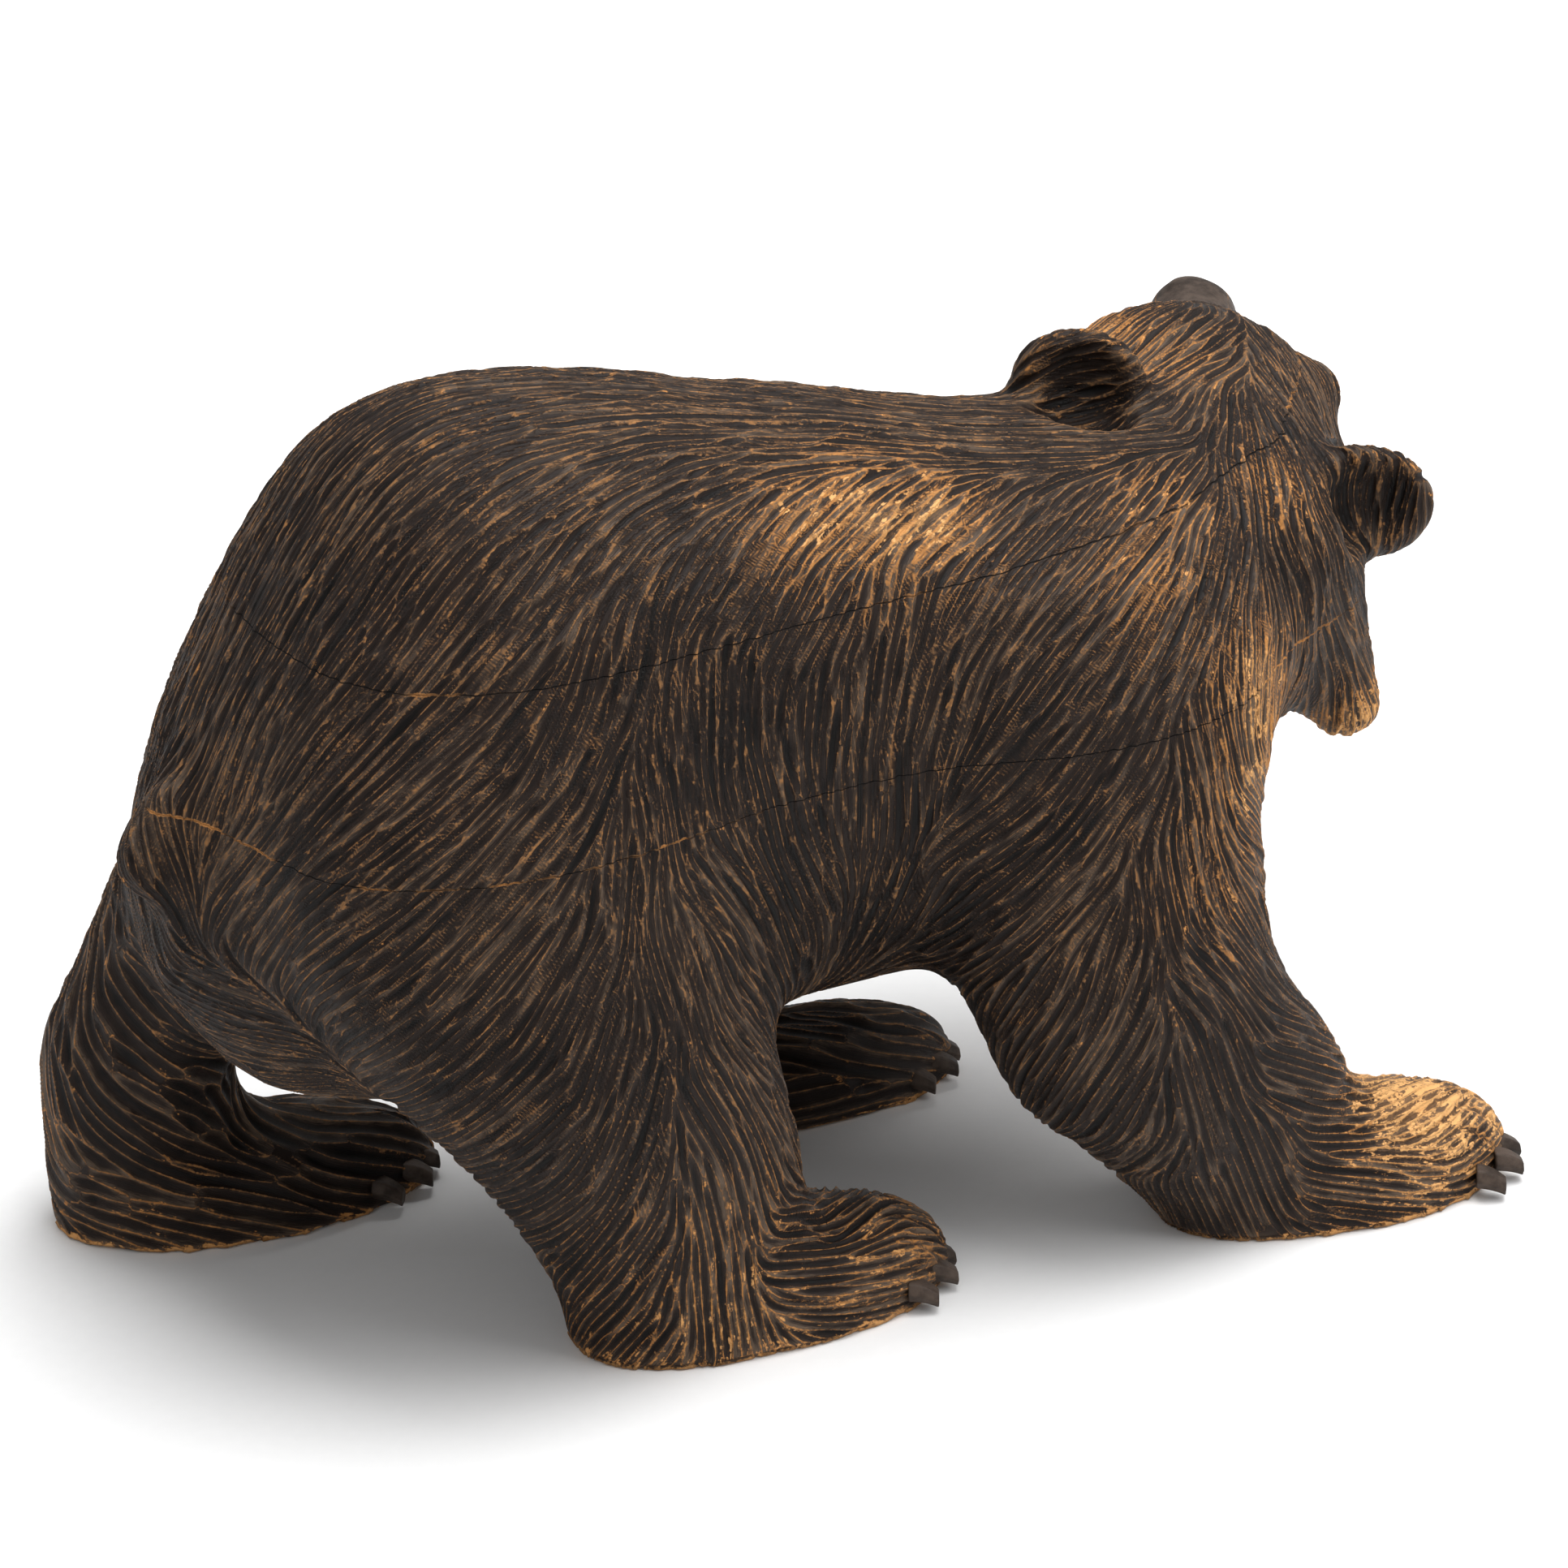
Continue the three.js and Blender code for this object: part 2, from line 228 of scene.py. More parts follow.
def bodyDistance(p):
    d = trunk(p, trunkRows)
    d = blended(d, bar(p, (56, 0, 112), 42, (96, 4, 120), 33), 18)
    d = blended(d, bar(p, (112, -6, 122), 19, (127, -14, 89), 8), 12)
    d = blended(d, bar(p, (100, 24, 120), 20, (112, 44, 98), 9), 12)
    d = blended(d, bar(p, (-128, 2, 112), 8, (-136, 1, 104), 6), 8)
    for rows in legs.values():
        d = blended(d, leg(p, rows), 14)
    for centre, radii in paws:
        d = blended(d, egg(p, centre, radii), 8)
    return d


# The nose is cut square: a block that narrows downwards, with its top and front corners taken off.
def noseBlock(h):
    x, y, z = h[:, 0] - 69, np.abs(h[:, 1]), h[:, 2] + 17.5
    sides = [np.abs(x) - 6.5, y - 8.2 - 0.2 * z, np.abs(z) - 7, (y + z) * 0.707 - 8.6, (x + z) * 0.707 - 7.4]
    return np.maximum.reduce(sides + [(y + x) * 0.707 - 8.4])


def headDistance(h):
    d = egg(h, (14, 0, -17), (38, 32, 28))
    d = blended(d, egg(h, (32, 0, -8), (18, 24, 13)), 10)
    for side in (1, -1):
        d = blended(d, egg(h, (21, 24 * side, -26), (24, 16, 20)), 10)
    d = blended(d, bar(h, (44, 0, -18), 15, (66, 0, -18), 10), 9)
    d = blended(d, bar(h, (36, 0, -34), 14, (56, 0, -30), 9), 8)
    for y, z in ((22, -3), (-19, -8)):
        d = blended(d, egg(h, (38, y, z), (8, 7, 4.5)), 5)  # brow ridge
    d = blended(d, noseBlock(h), 1.5)
    for side in (1, -1):
        d = hollowed(d, egg(h, (76, 5 * side, -16), (4.5, 2.6, 2.2)), 1.5)  # nostril
        d = hollowed(d, egg(h, (50, 21 * side, -10), (9, 7, 6)), 4)  # hollow that the eye sits in
    return d


# The ears stand up behind, each hollowed in its back and in its front.
def figure(p):
    h = toHead(p)
    d = blended(bodyDistance(p), headDistance(h), form["neckSoftness"])
    for y, z in ((32, 2), (-35, 4)):
        d = blended(d, egg(h, (-1, y, z), (8, 15, 14)), 4)
    for y, z in ((32, 2), (-35, 4)):
        d = hollowed(d, egg(h, (-11, y * 1.02, z + 6), (10, 12, 11)), 1.5)
        d = hollowed(d, egg(h, (9, y * 1.03, z + 4), (6, 9, 8)), 2)
    return d


# A net over the form: a corner in each grid cell that the skin crosses, at the mean of its crossings, and a
# four-sided face for each grid edge that the skin crosses.
def netOver(field, low, high, spacing):
    axes = [np.arange(a, b + spacing, spacing) for a, b in zip(low, high)]
    shape = tuple(len(a) for a in axes)
    flat = np.stack(np.meshgrid(*axes, indexing="ij"), axis=-1).reshape(-1, 3)
    values = np.concatenate([field(part) for part in np.array_split(flat, 12)]).reshape(shape)
    for axis in range(3):  # clefts narrower than a cell are softened away
        beside = np.roll(values, 1, axis) + np.roll(values, -1, axis)
        values = (2 * values + beside) / 4
    values = np.maximum(values, -axes[2])  # the soles are cut flat
    inside = values < 0
    total = np.zeros(tuple(n - 1 for n in shape) + (3,))
    count = np.zeros(total.shape[:3])
    cells = tuple(slice(0, n - 1) for n in shape)
    for axis in range(3):
        lower = [slice(None)] * 3
        upper = [slice(None)] * 3
        lower[axis], upper[axis] = slice(0, -1), slice(1, None)
        a, b = values[tuple(lower)], values[tuple(upper)]
        crossed = inside[tuple(lower)] != inside[tuple(upper)]
        t = np.where(crossed, a / np.where(crossed, a - b, 1), 0)
        place = np.stack(np.meshgrid(*[x[: s] for x, s in zip(axes, a.shape)], indexing="ij"), axis=-1)
        place[..., axis] += t * spacing
        place *= crossed[..., None]
        one, two = [n for n in range(3) if n != axis]
        for stepOne in (0, 1):
            for stepTwo in (0, 1):
                part = [slice(0, shape[n] - 1) for n in range(3)]
                part[one] = slice(stepOne, shape[one] - 1 + stepOne)
                part[two] = slice(stepTwo, shape[two] - 1 + stepTwo)
                total += place[tuple(part)]
                count += crossed[tuple(part)]
    used = count > 0
    cornerOf = np.full(total.shape[:3], -1)
    cornerOf[used] = np.arange(used.sum())
    corners = total[used] / count[used][:, None]
    faces = []
    for axis in range(3):
        one, two = (axis + 1) % 3, (axis + 2) % 3
        lower = [slice(1, n - 1) for n in shape]
        upper = list(lower)
        upper[axis] = slice(2, shape[axis])
        a, b = inside[tuple(lower)], inside[tuple(upper)]
        around = []
        for backOne, backTwo in ((0, 0), (1, 0), (1, 1), (0, 1)):
            part = [slice(1, n - 1) for n in shape]
            part[one] = slice(1 - backOne, shape[one] - 1 - backOne)
            part[two] = slice(1 - backTwo, shape[two] - 1 - backTwo)
            around.append(cornerOf[tuple(part)])
        around = np.stack(around, axis=-1)
        faces += [around[a & ~b], around[~a & b][:, ::-1]]
    return corners, np.concatenate(faces)


# ---------- the form as a fine mesh ----------
def makeObject(name, corners, faces, smooth=True):
    mesh = bpy.data.meshes.new(name)
    mesh.from_pydata(corners.tolist(), [], faces.tolist())
    mesh.polygons.foreach_set("use_smooth", np.full(len(mesh.polygons), smooth))
    thing = bpy.data.objects.new(name, mesh)
    bpy.context.scene.collection.objects.link(thing)
    return thing


def arraysOf(mesh):
    corners = np.empty(len(mesh.vertices) * 3)
    mesh.vertices.foreach_get("co", corners)
    faces = np.empty(len(mesh.loops), dtype=np.int32)
    mesh.loops.foreach_get("vertex_index", faces)
    return corners.reshape(-1, 3), faces.reshape(-1, 4)


# Each halving puts a corner in the middle of every face and edge and rounds the whole, as a subdivision
# surface does.
def halved(corners, faces, times):
    rough = makeObject("rough", corners, faces)
    rough.modifiers.new("halve", "SUBSURF").levels = times
    fine = rough.evaluated_get(bpy.context.evaluated_depsgraph_get())
    result = arraysOf(fine.to_mesh())
    fine.to_mesh_clear()
    bpy.data.objects.remove(rough)
    return result


# A corner's normal is the sum of the cross products of the diagonals of the faces around it.
def normalsOf(corners, faces):
    a, b, c, d = (corners[faces[:, n]] for n in range(4))
    across = np.cross(c - a, d - b)
    total = np.stack(
        [np.bincount(faces.ravel(), np.repeat(across[:, n], 4), len(corners)) for n in range(3)], axis=1
    )
    return total / np.maximum(np.linalg.norm(total, axis=1), 1e-12)[:, None]


room = {"low": (-153, -84, -5.8), "high": (157, 84, 197)}
rough, roughFaces = netOver(figure, *(np.array(room[k], float) for k in ("low", "high")), form["coarse"])
roughNormals = normalsOf(rough, roughFaces)
print("form:", len(rough), "corners")
skin, skinFaces = halved(rough, roughFaces, form["halvings"])
skinNormals = normalsOf(skin, skinFaces)
print("fine form:", len(skin), "corners")


# ---------- which way the fur lies ----------
# Each row is a place on the skin and the way that the fur lies there, both in the drawing's millimetres.
backFur = [  # the right half of the back and flanks; the left half is its mirror image
    [104, -2, 153, -0.3, -0.8, -0.4],
    [78, -8, 157, -1, -0.1, 0],
    [60, -8, 160, -1, 0, 0.1],
    [40, -10, 164, -1, 0, 0.15],
    [20, -10, 170, -1, 0, 0.2],
    [0, -14, 174, -1, -0.1, 0.2],
    [-30, -14, 182, -1, -0.1, 0.1],
    [-60, -14, 187, -1, -0.1, 0],
    [-90, -4, 179, -0.8, 0, -0.6],
    [-104, 0, 164, -0.5, 0, -0.85],
    [-90, -20, 172, -0.75, 0, -0.65],
    [-62, -28, 180, -0.95, -0.3, -0.2],
    [-34, -28, 176, -0.95, -0.3, -0.1],
    [0, -34, 162, -0.85, -0.4, -0.3],
    [20, -34, 158, -0.85, -0.45, -0.2],
    [40, -33, 153, -0.85, -0.5, -0.2],
    [60, -34, 149, -0.8, -0.55, -0.2],
    [78, -24, 152, -0.75, -0.65, -0.1],
    [100, -20, 145, -0.3, -0.8, -0.5],
    [-93, -32, 160, -0.7, -0.1, -0.7],
    [-60, -40, 167, -0.8, -0.35, -0.5],
    [-30, -42, 160, -0.73, -0.4, -0.55],
    [-12, -44, 150, -0.68, -0.35, -0.65],
    [5, -45, 146, -0.4, -0.45, -0.8],
    [25, -46, 142, -0.7, -0.35, -0.6],
    [43, -48, 139, -0.8, -0.3, -0.5],
    [80, -40, 139, -0.58, -0.65, -0.5],
    [106, -30, 129, 0.2, -0.2, -0.95],
    [61, -53, 128, -0.7, -0.4, -0.57],
    [87, -46, 119, -0.25, -0.5, -0.8],
    [-113, -4, 147, -0.5, 0.1, -0.85],
    [-104, -34, 144, -0.6, 0.2, -0.75],
    [-80, -45, 154, -0.75, -0.1, -0.66],
    [-54, -49, 151, -0.36, -0.33, -0.87],
    [-36, -51, 138, -0.15, -0.25, -0.96],
    [-6, -50, 131, -0.2, -0.15, -0.96],
    [12, -51, 127, -0.4, -0.2, -0.9],
    [-122, -8, 128, -0.4, 0, -0.9],
    [-91, -48, 139, -0.83, 0, -0.56],
    [-66, -54, 136, -0.6, -0.25, -0.76],
    [29, -57, 116, -0.73, 0, -0.68],
    [69, -59, 109, 0.13, -0.23, -0.97],
    [-48, -56, 124, 0.1, -0.2, -0.98],
    [-27, -53, 118, 0.2, 0, -0.98],
    [2, -52, 110, 0, 0, -1],
    [46, -62, 106, -0.7, -0.2, -0.67],
    [-102, -50, 124, -0.77, 0.2, -0.6],
    [-77, -58, 122, -0.78, -0.1, -0.62],
    [19, -57, 99, -0.78, 0.24, -0.57],
    [-122, -28, 109, -0.3, 0.5, -0.8],
    [-60, -60, 109, -0.16, -0.2, -0.97],
    [-39, -57, 103, 0.57, 0, -0.82],
    [-16, -51, 94, 0.4, 0.15, -0.9],
    [3, -51, 90, -0.2, 0.3, -0.92],
    [35, -64, 89, -0.76, 0, -0.64],
    [54, -67, 86, 0.1, -0.25, -0.96],
]
legFur = [
    # right hind leg, parted down its middle
    [-111, -49, 106, -0.55, 0.5, -0.63],
    [-88, -60, 106, -0.74, 0, -0.67],
    [-71, -64, 94, -0.6, -0.15, -0.8],
    [-52, -63, 89, 0.2, -0.15, -0.96],
    [-28, -55, 69, 0.5, 0.3, -0.8],
    [-98, -60, 79, -0.6, 0.4, -0.67],
    [-64, -68, 74, -0.37, -0.15, -0.9],
    [-82, -66, 68, -0.66, 0.27, -0.7],
    [-44, -67, 58, 0.47, 0, -0.88],
    [-64, -69, 55, -0.35, 0.1, -0.93],
    [-79, -59, 43, -0.4, 0.65, -0.66],
    [-44, -67, 38, 0.23, 0, -0.97],
    [-63, -65, 32, -0.42, 0.28, -0.87],
    [-43, -66, 16, 0.1, 0, -1],
    [-60, -59, 7, -0.43, 0.4, -0.8],
    [-50, -24, 35, 0, 0, -1],
    [-22, -40, 35, 0.4, 0, -0.9],
    [-21, -61, 18, 0.96, 0.1, -0.24],
    [-2, -64, 5, 0.95, 0.2, -0.15],
    [-8, -50, 18, 0.75, 0.55, -0.1],
    [-8, -38, 16, 0.4, 0.8, -0.3],
    [10, -50, 10, 0.95, 0.1, -0.3],
    # right fore leg
    [42, -72, 70, -0.4, -0.15, -0.9],
    [63, -73, 66, 0.6, 0, -0.78],
    [18, -59, 80, -0.6, 0.43, -0.67],
    [26, -66, 61, -0.36, 0.34, -0.87],
    [42, -74, 51, -0.47, 0.1, -0.87],
    [62, -76, 47, 0.3, 0, -0.95],
    [86, -71, 38, 0.85, 0.2, -0.5],
    [99, -68, 23, 0.87, 0.34, -0.36],
    [118, -60, 20, 0.9, 0.4, -0.1],
    [133, -67, 13, 0.77, 0.6, 0],
    [120, -46, 18, 0.6, 0.75, -0.2],
    [140, -56, 10, 0.95, 0.1, -0.3],
    [47, -67, 24, -0.3, 0.6, -0.8],
    [74, -75, 22, 0.4, 0.18, -0.9],
    [62, -63, 9, 0.5, 0.3, -0.72],
    [105, -77, 5, 0.95, -0.15, -0.28],
    [80, -36, 35, 0.5, 0, -0.85],
    [90, -50, 60, 0.5, 0.1, -0.85],
    [84, -53, 92, 0.44, 0.5, -0.7],
    # left hind leg
    [-132, 18, 108, -0.3, -0.4, -0.8],
    [-138, 0, 108, 0, -0.6, -0.75],
    [-133, 42, 66, -0.37, -0.36, -0.85],
    [-130, 24, 74, 0.1, -0.95, -0.25],
    [-126, -14, 73, 0.3, -0.9, 0],
    [-131, 26, 53, 0.55, -0.5, -0.64],
    [-144, 45, 36, -0.1, -0.5, -0.85],
    [-131, 27, 31, 0.72, -0.2, -0.67],
    [-99, 35, 19, 0.7, -0.6, -0.38],
    [-79, 34, 15, 0.94, 0, -0.33],
    [-140, 34, 8, 0.66, -0.7, -0.2],
    [-114, 23, 8, 0.9, -0.3, -0.3],
    [-72, 60, 110, -0.5, 0.1, -0.85],
    [-100, 64, 75, -0.5, 0, -0.85],
    [-122, 66, 45, -0.2, 0, -0.98],
    [-122, 66, 16, 0.2, 0, -0.98],
    [-95, 58, 10, 0.95, 0.2, -0.2],
    # left fore leg
    [46, 62, 90, -0.5, 0, -0.85],
    [20, 64, 66, -0.55, 0, -0.8],
    [-8, 62, 40, -0.4, 0, -0.9],
    [-18, 58, 18, 0.1, 0, -1],
    [10, 42, 38, 0.2, -0.2, -0.95],
    [-10, 22, 30, 0.3, -0.2, -0.9],
    [20, 23, 17, 0.84, -0.5, -0.18],
    [22, 44, 12, 0.9, 0.3, -0.2],
    [45, 26, 10, 0.95, 0, -0.3],
    [14, 11, 3, 1, 0, 0],
    # belly, chest and throat
    [0, 0, 48, -1, 0, 0],
    [-40, 0, 47, -1, 0, 0],
    [40, 0, 52, -1, 0, 0],
    [80, 0, 66, -0.8, 0, -0.5],
    [103, 0, 95, 0, 0, -1],
    [92, 34, 95, 0, 0.3, -0.95],
    [95, -34, 100, 0, -0.2, -0.95],
    [-120, 10, 80, 0.1, -0.2, -0.95],
    [122, -22, 112, 0.45, 0.2, -0.85],
    [116, -16, 90, 0.2, 0.5, -0.8],
]
headFur = [  # ahead, right and up in the head; the hair runs back from the nose and parts along the crown
    [58, 0, -2, -1, 0, 0.15],
    [42, 0, 2, -1, 0, 0.1],
    [28, 7, 8, -0.85, 0.5, 0],
    [28, -7, 8, -0.85, -0.5, 0],
    [12, 12, 11, -0.75, 0.65, 0],
    [12, -12, 11, -0.75, -0.65, 0],
    [-6, 6, 10, -0.9, 0.4, -0.1],
    [-6, -6, 10, -0.9, -0.4, -0.1],
    [34, 18, -2, -0.8, 0.5, -0.3],
    [34, -18, -2, -0.8, -0.5, -0.3],
    [24, 32, -16, -0.7, 0.2, -0.65],
    [24, -32, -16, -0.7, -0.2, -0.65],
    [8, 40, -30, -0.35, 0.1, -0.9],
    [8, -40, -30, -0.35, -0.1, -0.9],
    [42, 18, -28, -0.9, 0.2, -0.4],
    [42, -18, -28, -0.9, -0.2, -0.4],
    [40, 0, -46, -1, 0, -0.2],
    [14, 0, -46, -1, 0, -0.1],
    [-9, 31, 4, 0, 0.3, -0.95],
    [-9, -33, 6, 0, -0.3, -0.95],
    [9, 31, 4, 0, 0.2, 0.95],
    [9, -33, 6, 0, -0.2, 0.95],
]


def furGuides():
    back = np.array(backFur, float)
    left = back * [1, -1, 1, 1, -1, 1]
    left[:, 1] += 4  # the trunk's middle is 2 mm to the left
    left = left[(left[:, 2] > 84) & (left[:, 0] < 84)]
    head = np.array(headFur, float)
    head = np.hstack([fromHead(head[:, :3]), head[:, 3:] @ headMatrix.T])
    return np.vstack([back, left, np.array(legFur, float), head])


# The lie of the fur at a place is the mean of the guides' ways, weighted by 1 / (d d + 20)^2.5 and by how
# nearly the guide's own skin faces the same way, and laid flat on the skin.
def lieOf(places, normals, guides):
    total = np.zeros_like(places)
    gap = np.square(rough[:, None, 0] - guides[None, :, 0])
    for n in (1, 2):
        gap += np.square(rough[:, None, n] - guides[None, :, n])
    guideNormals = normals[np.argmin(gap, axis=0)]
    for g, own in zip(guides, guideNormals):
        away = np.square(places - g[:3]).sum(axis=1) + 20
        facing = np.maximum(normals @ own, 0.03)
        total += (facing / away**2.5)[:, None] * g[3:] / np.linalg.norm(g[3:])
    total -= (total * normals).sum(axis=1)[:, None] * normals
    return total / np.maximum(np.linalg.norm(total, axis=1), 1e-30)[:, None]


# A table from the cells of a lattice to the nearest corner of the rough net, grown outwards cell by cell.
def cellTable(places, spacing, low, growth=3):
    low = np.array(low, float) - 4 * spacing
    shape = np.ceil((places.max(axis=0) - low) / spacing).astype(int) + 6
    table = np.full(shape, -1)
    cells = np.floor((places - low) / spacing).astype(int)
    table[tuple(cells.T)] = np.arange(len(places))
    for _ in range(growth):
        for axis in range(3):
            for way in (1, -1):
                beside = np.roll(table, way, axis)
                table = np.where(table < 0, beside, table)
    return table, low


guides = furGuides()
furLie = lieOf(rough, roughNormals, guides)
table, tableLow = cellTable(rough, form["coarse"], room["low"])


def cornerNear(p):
    cells = np.floor((p - tableLow) / form["coarse"]).astype(int)
    return table[tuple(np.clip(cells, 0, np.array(table.shape) - 1).T)]


# ---------- gouge cuts ----------
gouge = {
    "step": 1.1,  # between the points worked out along a cut
    "spacings": (1.45, 1.0),  # between neighbouring cuts, in the first and the second round
    "rounds": 110,
    "tries": 14000,  # places where a cut is tried to fill what is left
    "apart": 0.55,  # how near a cut may run to another, as a share of the spacing
    "shortest": 8.0,
    "lengths": (24.0, 76.0),
    "halfWidth": (1.45, 1.75),
    "depth": (1.3, 1.7),
    "breadths": (1.0, 1.2, 2.3),  # and distances apart of the cuts of the body, the legs and the knife
    "flatness": (1.0, 1.0, 1.4),  # how much flatter the troughs of each kind are
    "leastDepth": 0.85,  # of the wood taken off between the cuts too
    "proud": 1.1,  # how far the uncut skin stands above the finished one
    "proudUncut": 0.3,  # the same where nothing is cut
    "lattice": 0.4,  # of the table that keeps cuts apart
}


# Points along the fur's lie from each seed, so many steps each way, held down on the skin.
def furLines(seeds, steps):
    halves = []
    for way in (1, -1):
        p = seeds.copy()
        near = np.maximum(cornerNear(p), 0)
        before = furLie[near] * way
        line = [p.copy()]
        for _ in range(steps):
            ahead = furLie[near] * way
            turn = (ahead * before).sum(axis=1)
            ahead = np.where((turn < 0)[:, None], before, ahead + before)
            ahead /= np.maximum(np.linalg.norm(ahead, axis=1), 1e-9)[:, None]
            p = p + ahead * gouge["step"]
            found = cornerNear(p)
            near = np.where(found < 0, near, found)
            lift = ((p - rough[near]) * roughNormals[near]).sum(axis=1)
            p = p - lift[:, None] * roughNormals[near]
            before = ahead
            line.append(np.where((found < 0)[:, None] | ~furred(p)[:, None], np.nan, p))
        halves.append(np.stack(line, axis=1))
    return np.concatenate([halves[1][:, :0:-1], halves[0]], axis=1)


def ballOffsets(radius, shape):
    r = int(math.ceil(radius))
    o = np.stack(np.meshgrid(*[np.arange(-r, r + 1)] * 3, indexing="ij"), axis=-1).reshape(-1, 3)
    o = o[np.square(o).sum(axis=1) <= radius * radius]
    return (o[:, 0] * shape[1] + o[:, 1]) * shape[2] + o[:, 2]


# Where fur is cut: not on the nose and lips, the claws, the soles or the smooth keel of the belly.
def furred(p):
    h = toHead(p)
    onMuzzle = (h[:, 0] > 54) & (np.abs(h[:, 1]) < 22) & (np.abs(h[:, 2] + 18) < 30)
    onKeel = (np.abs(p[:, 2] - 42) < 11) & (np.abs(p[:, 1] - 2) < 24) & (p[:, 0] > -60) & (p[:, 0] < 62)
    return ~onMuzzle & ~onKeel & (p[:, 2] > 0.8)


# The kind of cut at a place: 0 on the body, 1 on the legs, and 2 where the left hind leg and the left fore
# paw are cut broadly with a knife.
def cutKind(p):
    x, y, z = p[..., 0], p[..., 1], p[..., 2]
    knifed = (y > 10) & np.where(x < -58, z < 78, z < 34)
    return np.where(knifed, 2, (z < 58) & (np.abs(y) > 14)).astype(int)


# Cuts laid side by side: from seeds along those already laid, one spacing to either side, lines are drawn
# and the stretch of each that stays clear of the others is kept, until no more fit.
def combedCuts():
    lattice = gouge["lattice"]
    low = np.array(room["low"], float) - 12 * lattice
    shape = tuple((np.ceil((np.array(room["high"]) - low) / lattice) + 24).astype(int))
    taken = np.zeros(shape[0] * shape[1] * shape[2], dtype=bool)
    crowded = taken.copy()
    cuts = []

    def cellsOf(p):
        cell = np.floor((np.nan_to_num(p, nan=-1e3) - low) / lattice).astype(np.int64)
        valid = np.all((cell > 8) & (cell < np.array(shape) - 8), axis=-1)
        return np.where(valid, (cell[..., 0] * shape[1] + cell[..., 1]) * shape[2] + cell[..., 2], 0), valid

    def keepClear(seeds, ball, tightBall):
        shortest, longest = gouge["lengths"]
        seeds = seeds[rng.permutation(len(seeds))]
        length = shortest + (longest - shortest) * rng.random(len(seeds)) ** 1.5
        reach = np.round(length / 2 / gouge["step"]).astype(int)
        cell, valid = cellsOf(seeds)
        free = valid & ~taken[cell]
        seeds, reach = seeds[free], reach[free]
        if not len(seeds):
            return []
        lines = furLines(seeds, int(longest / 2 / gouge["step"]) + 1)
        cell, valid = cellsOf(lines)
        middle = lines.shape[1] // 2
        fresh = []
        for n in range(len(lines)):
            ok = valid[n] & ~crowded[cell[n]]
            if taken[cell[n, middle]] or not ok[middle]:
                continue
            before, after = np.flatnonzero(~ok[:middle]), np.flatnonzero(~ok[middle:])
            first = before[-1] + 1 if len(before) else 0
            last = middle + after[0] if len(after) else len(ok)
            first, last = max(first, middle - reach[n]), min(last, middle + reach[n] + 1)
            if (last - first) * gouge["step"] >= gouge["shortest"]:
                fresh.append(lines[n, first:last])
                kind = cutKind(lines[n, middle])
                taken[(cell[n, first:last, None] + ball[kind]).ravel()] = True
                crowded[(cell[n, first:last, None] + tightBall[kind]).ravel()] = True
        return fresh

    pool = rough[furred(rough)]
    for spacing in gouge["spacings"]:
        sizes = np.array(gouge["breadths"]) * spacing / lattice
        ball = [ballOffsets(0.86 * size, shape) for size in sizes]
        tightBall = [ballOffsets(gouge["apart"] * size, shape) for size in sizes]
        taken[:] = crowded[:] = False
        for cut in cuts:
            kind = cutKind(cut[len(cut) // 2])
            taken[(cellsOf(cut)[0][:, None] + ball[kind]).ravel()] = True
            crowded[(cellsOf(cut)[0][:, None] + tightBall[kind]).ravel()] = True
        fresh = keepClear(pool[rng.permutation(len(pool))[:300]], ball, tightBall)
        for _ in range(gouge["rounds"]):
            cuts += fresh
            if len(fresh) < 5:
                break
            points = np.concatenate([cut[2:-2:6] for cut in fresh])
            near = np.maximum(cornerNear(points), 0)
            apart = np.array(gouge["breadths"])[cutKind(points)] * spacing
            side = np.cross(roughNormals[near], furLie[near]) * apart[:, None]
            fresh = keepClear(np.concatenate([points + side, points - side]), ball, tightBall)
        for _ in range(3):
            cuts += keepClear(pool[rng.permutation(len(pool))[: gouge["tries"]]], ball, tightBall)
        print("cuts so far:", len(cuts), "mean length", np.mean([len(cut) for cut in cuts]) * gouge["step"])
    return cuts


cuts = combedCuts()

# ---------- deeper, listed cuts ---------------
# Each is a list of places, half width, depth; the ends of a cut rise to the skin.
def pathCut(places, halfWidth, depth, inHead=False):
    p = np.array(places, float)
    p = fromHead(p) if inHead else p
    along = np.concatenate([[0], np.cumsum(np.linalg.norm(np.diff(p, axis=0), axis=1))])
    t = np.arange(0, along[-1] + gouge["step"], gouge["step"] / 1.4)
    line = smoothRun(np.hstack([along[:, None], p]), t).T
    for _ in range(2):  # held down on the skin
        near = np.maximum(cornerNear(line), 0)
        line -= ((line - rough[near]) * roughNormals[near]).sum(axis=1)[:, None] * roughNormals[near]
    return line, halfWidth, depth


def toeCuts():
    result = []
    for (centre, radii), turn in zip(paws, pawTurns):
        cx, cy, _ = centre
        turn = math.radians(turn)
        for side in (-0.52, -0.17, 0.18, 0.53):
            places = []
            for t, rise in ((0.52, 15), (0.72, 13), (0.9, 8), (1.0, 2)):
                x, y = radii[0] * t, radii[1] * side * (0.86 + 0.2 * t)
                places.append((cx + x * math.cos(turn) - y * math.sin(turn),
                               cy + x * math.sin(turn) + y * math.cos(turn), rise))
            result.append(pathCut(places, 1.5, 1.5))
    return result


def faceCuts():
    result = []
    for side in (1, -1):
        lips = [(76, 2 * side, -25), (70, 9 * side, -26), (58, 13 * side, -29), (46, 17 * side, -33)]
        result.append(pathCut(lips, 0.9, 1.3, True))
        lid = [(51, 10 * side, -9), (48, 14 * side, -6), (43, 17 * side, -6), (39, 19 * side, -10)]
        result.append(pathCut(lid, 0.9, 0.8, True))
    return result


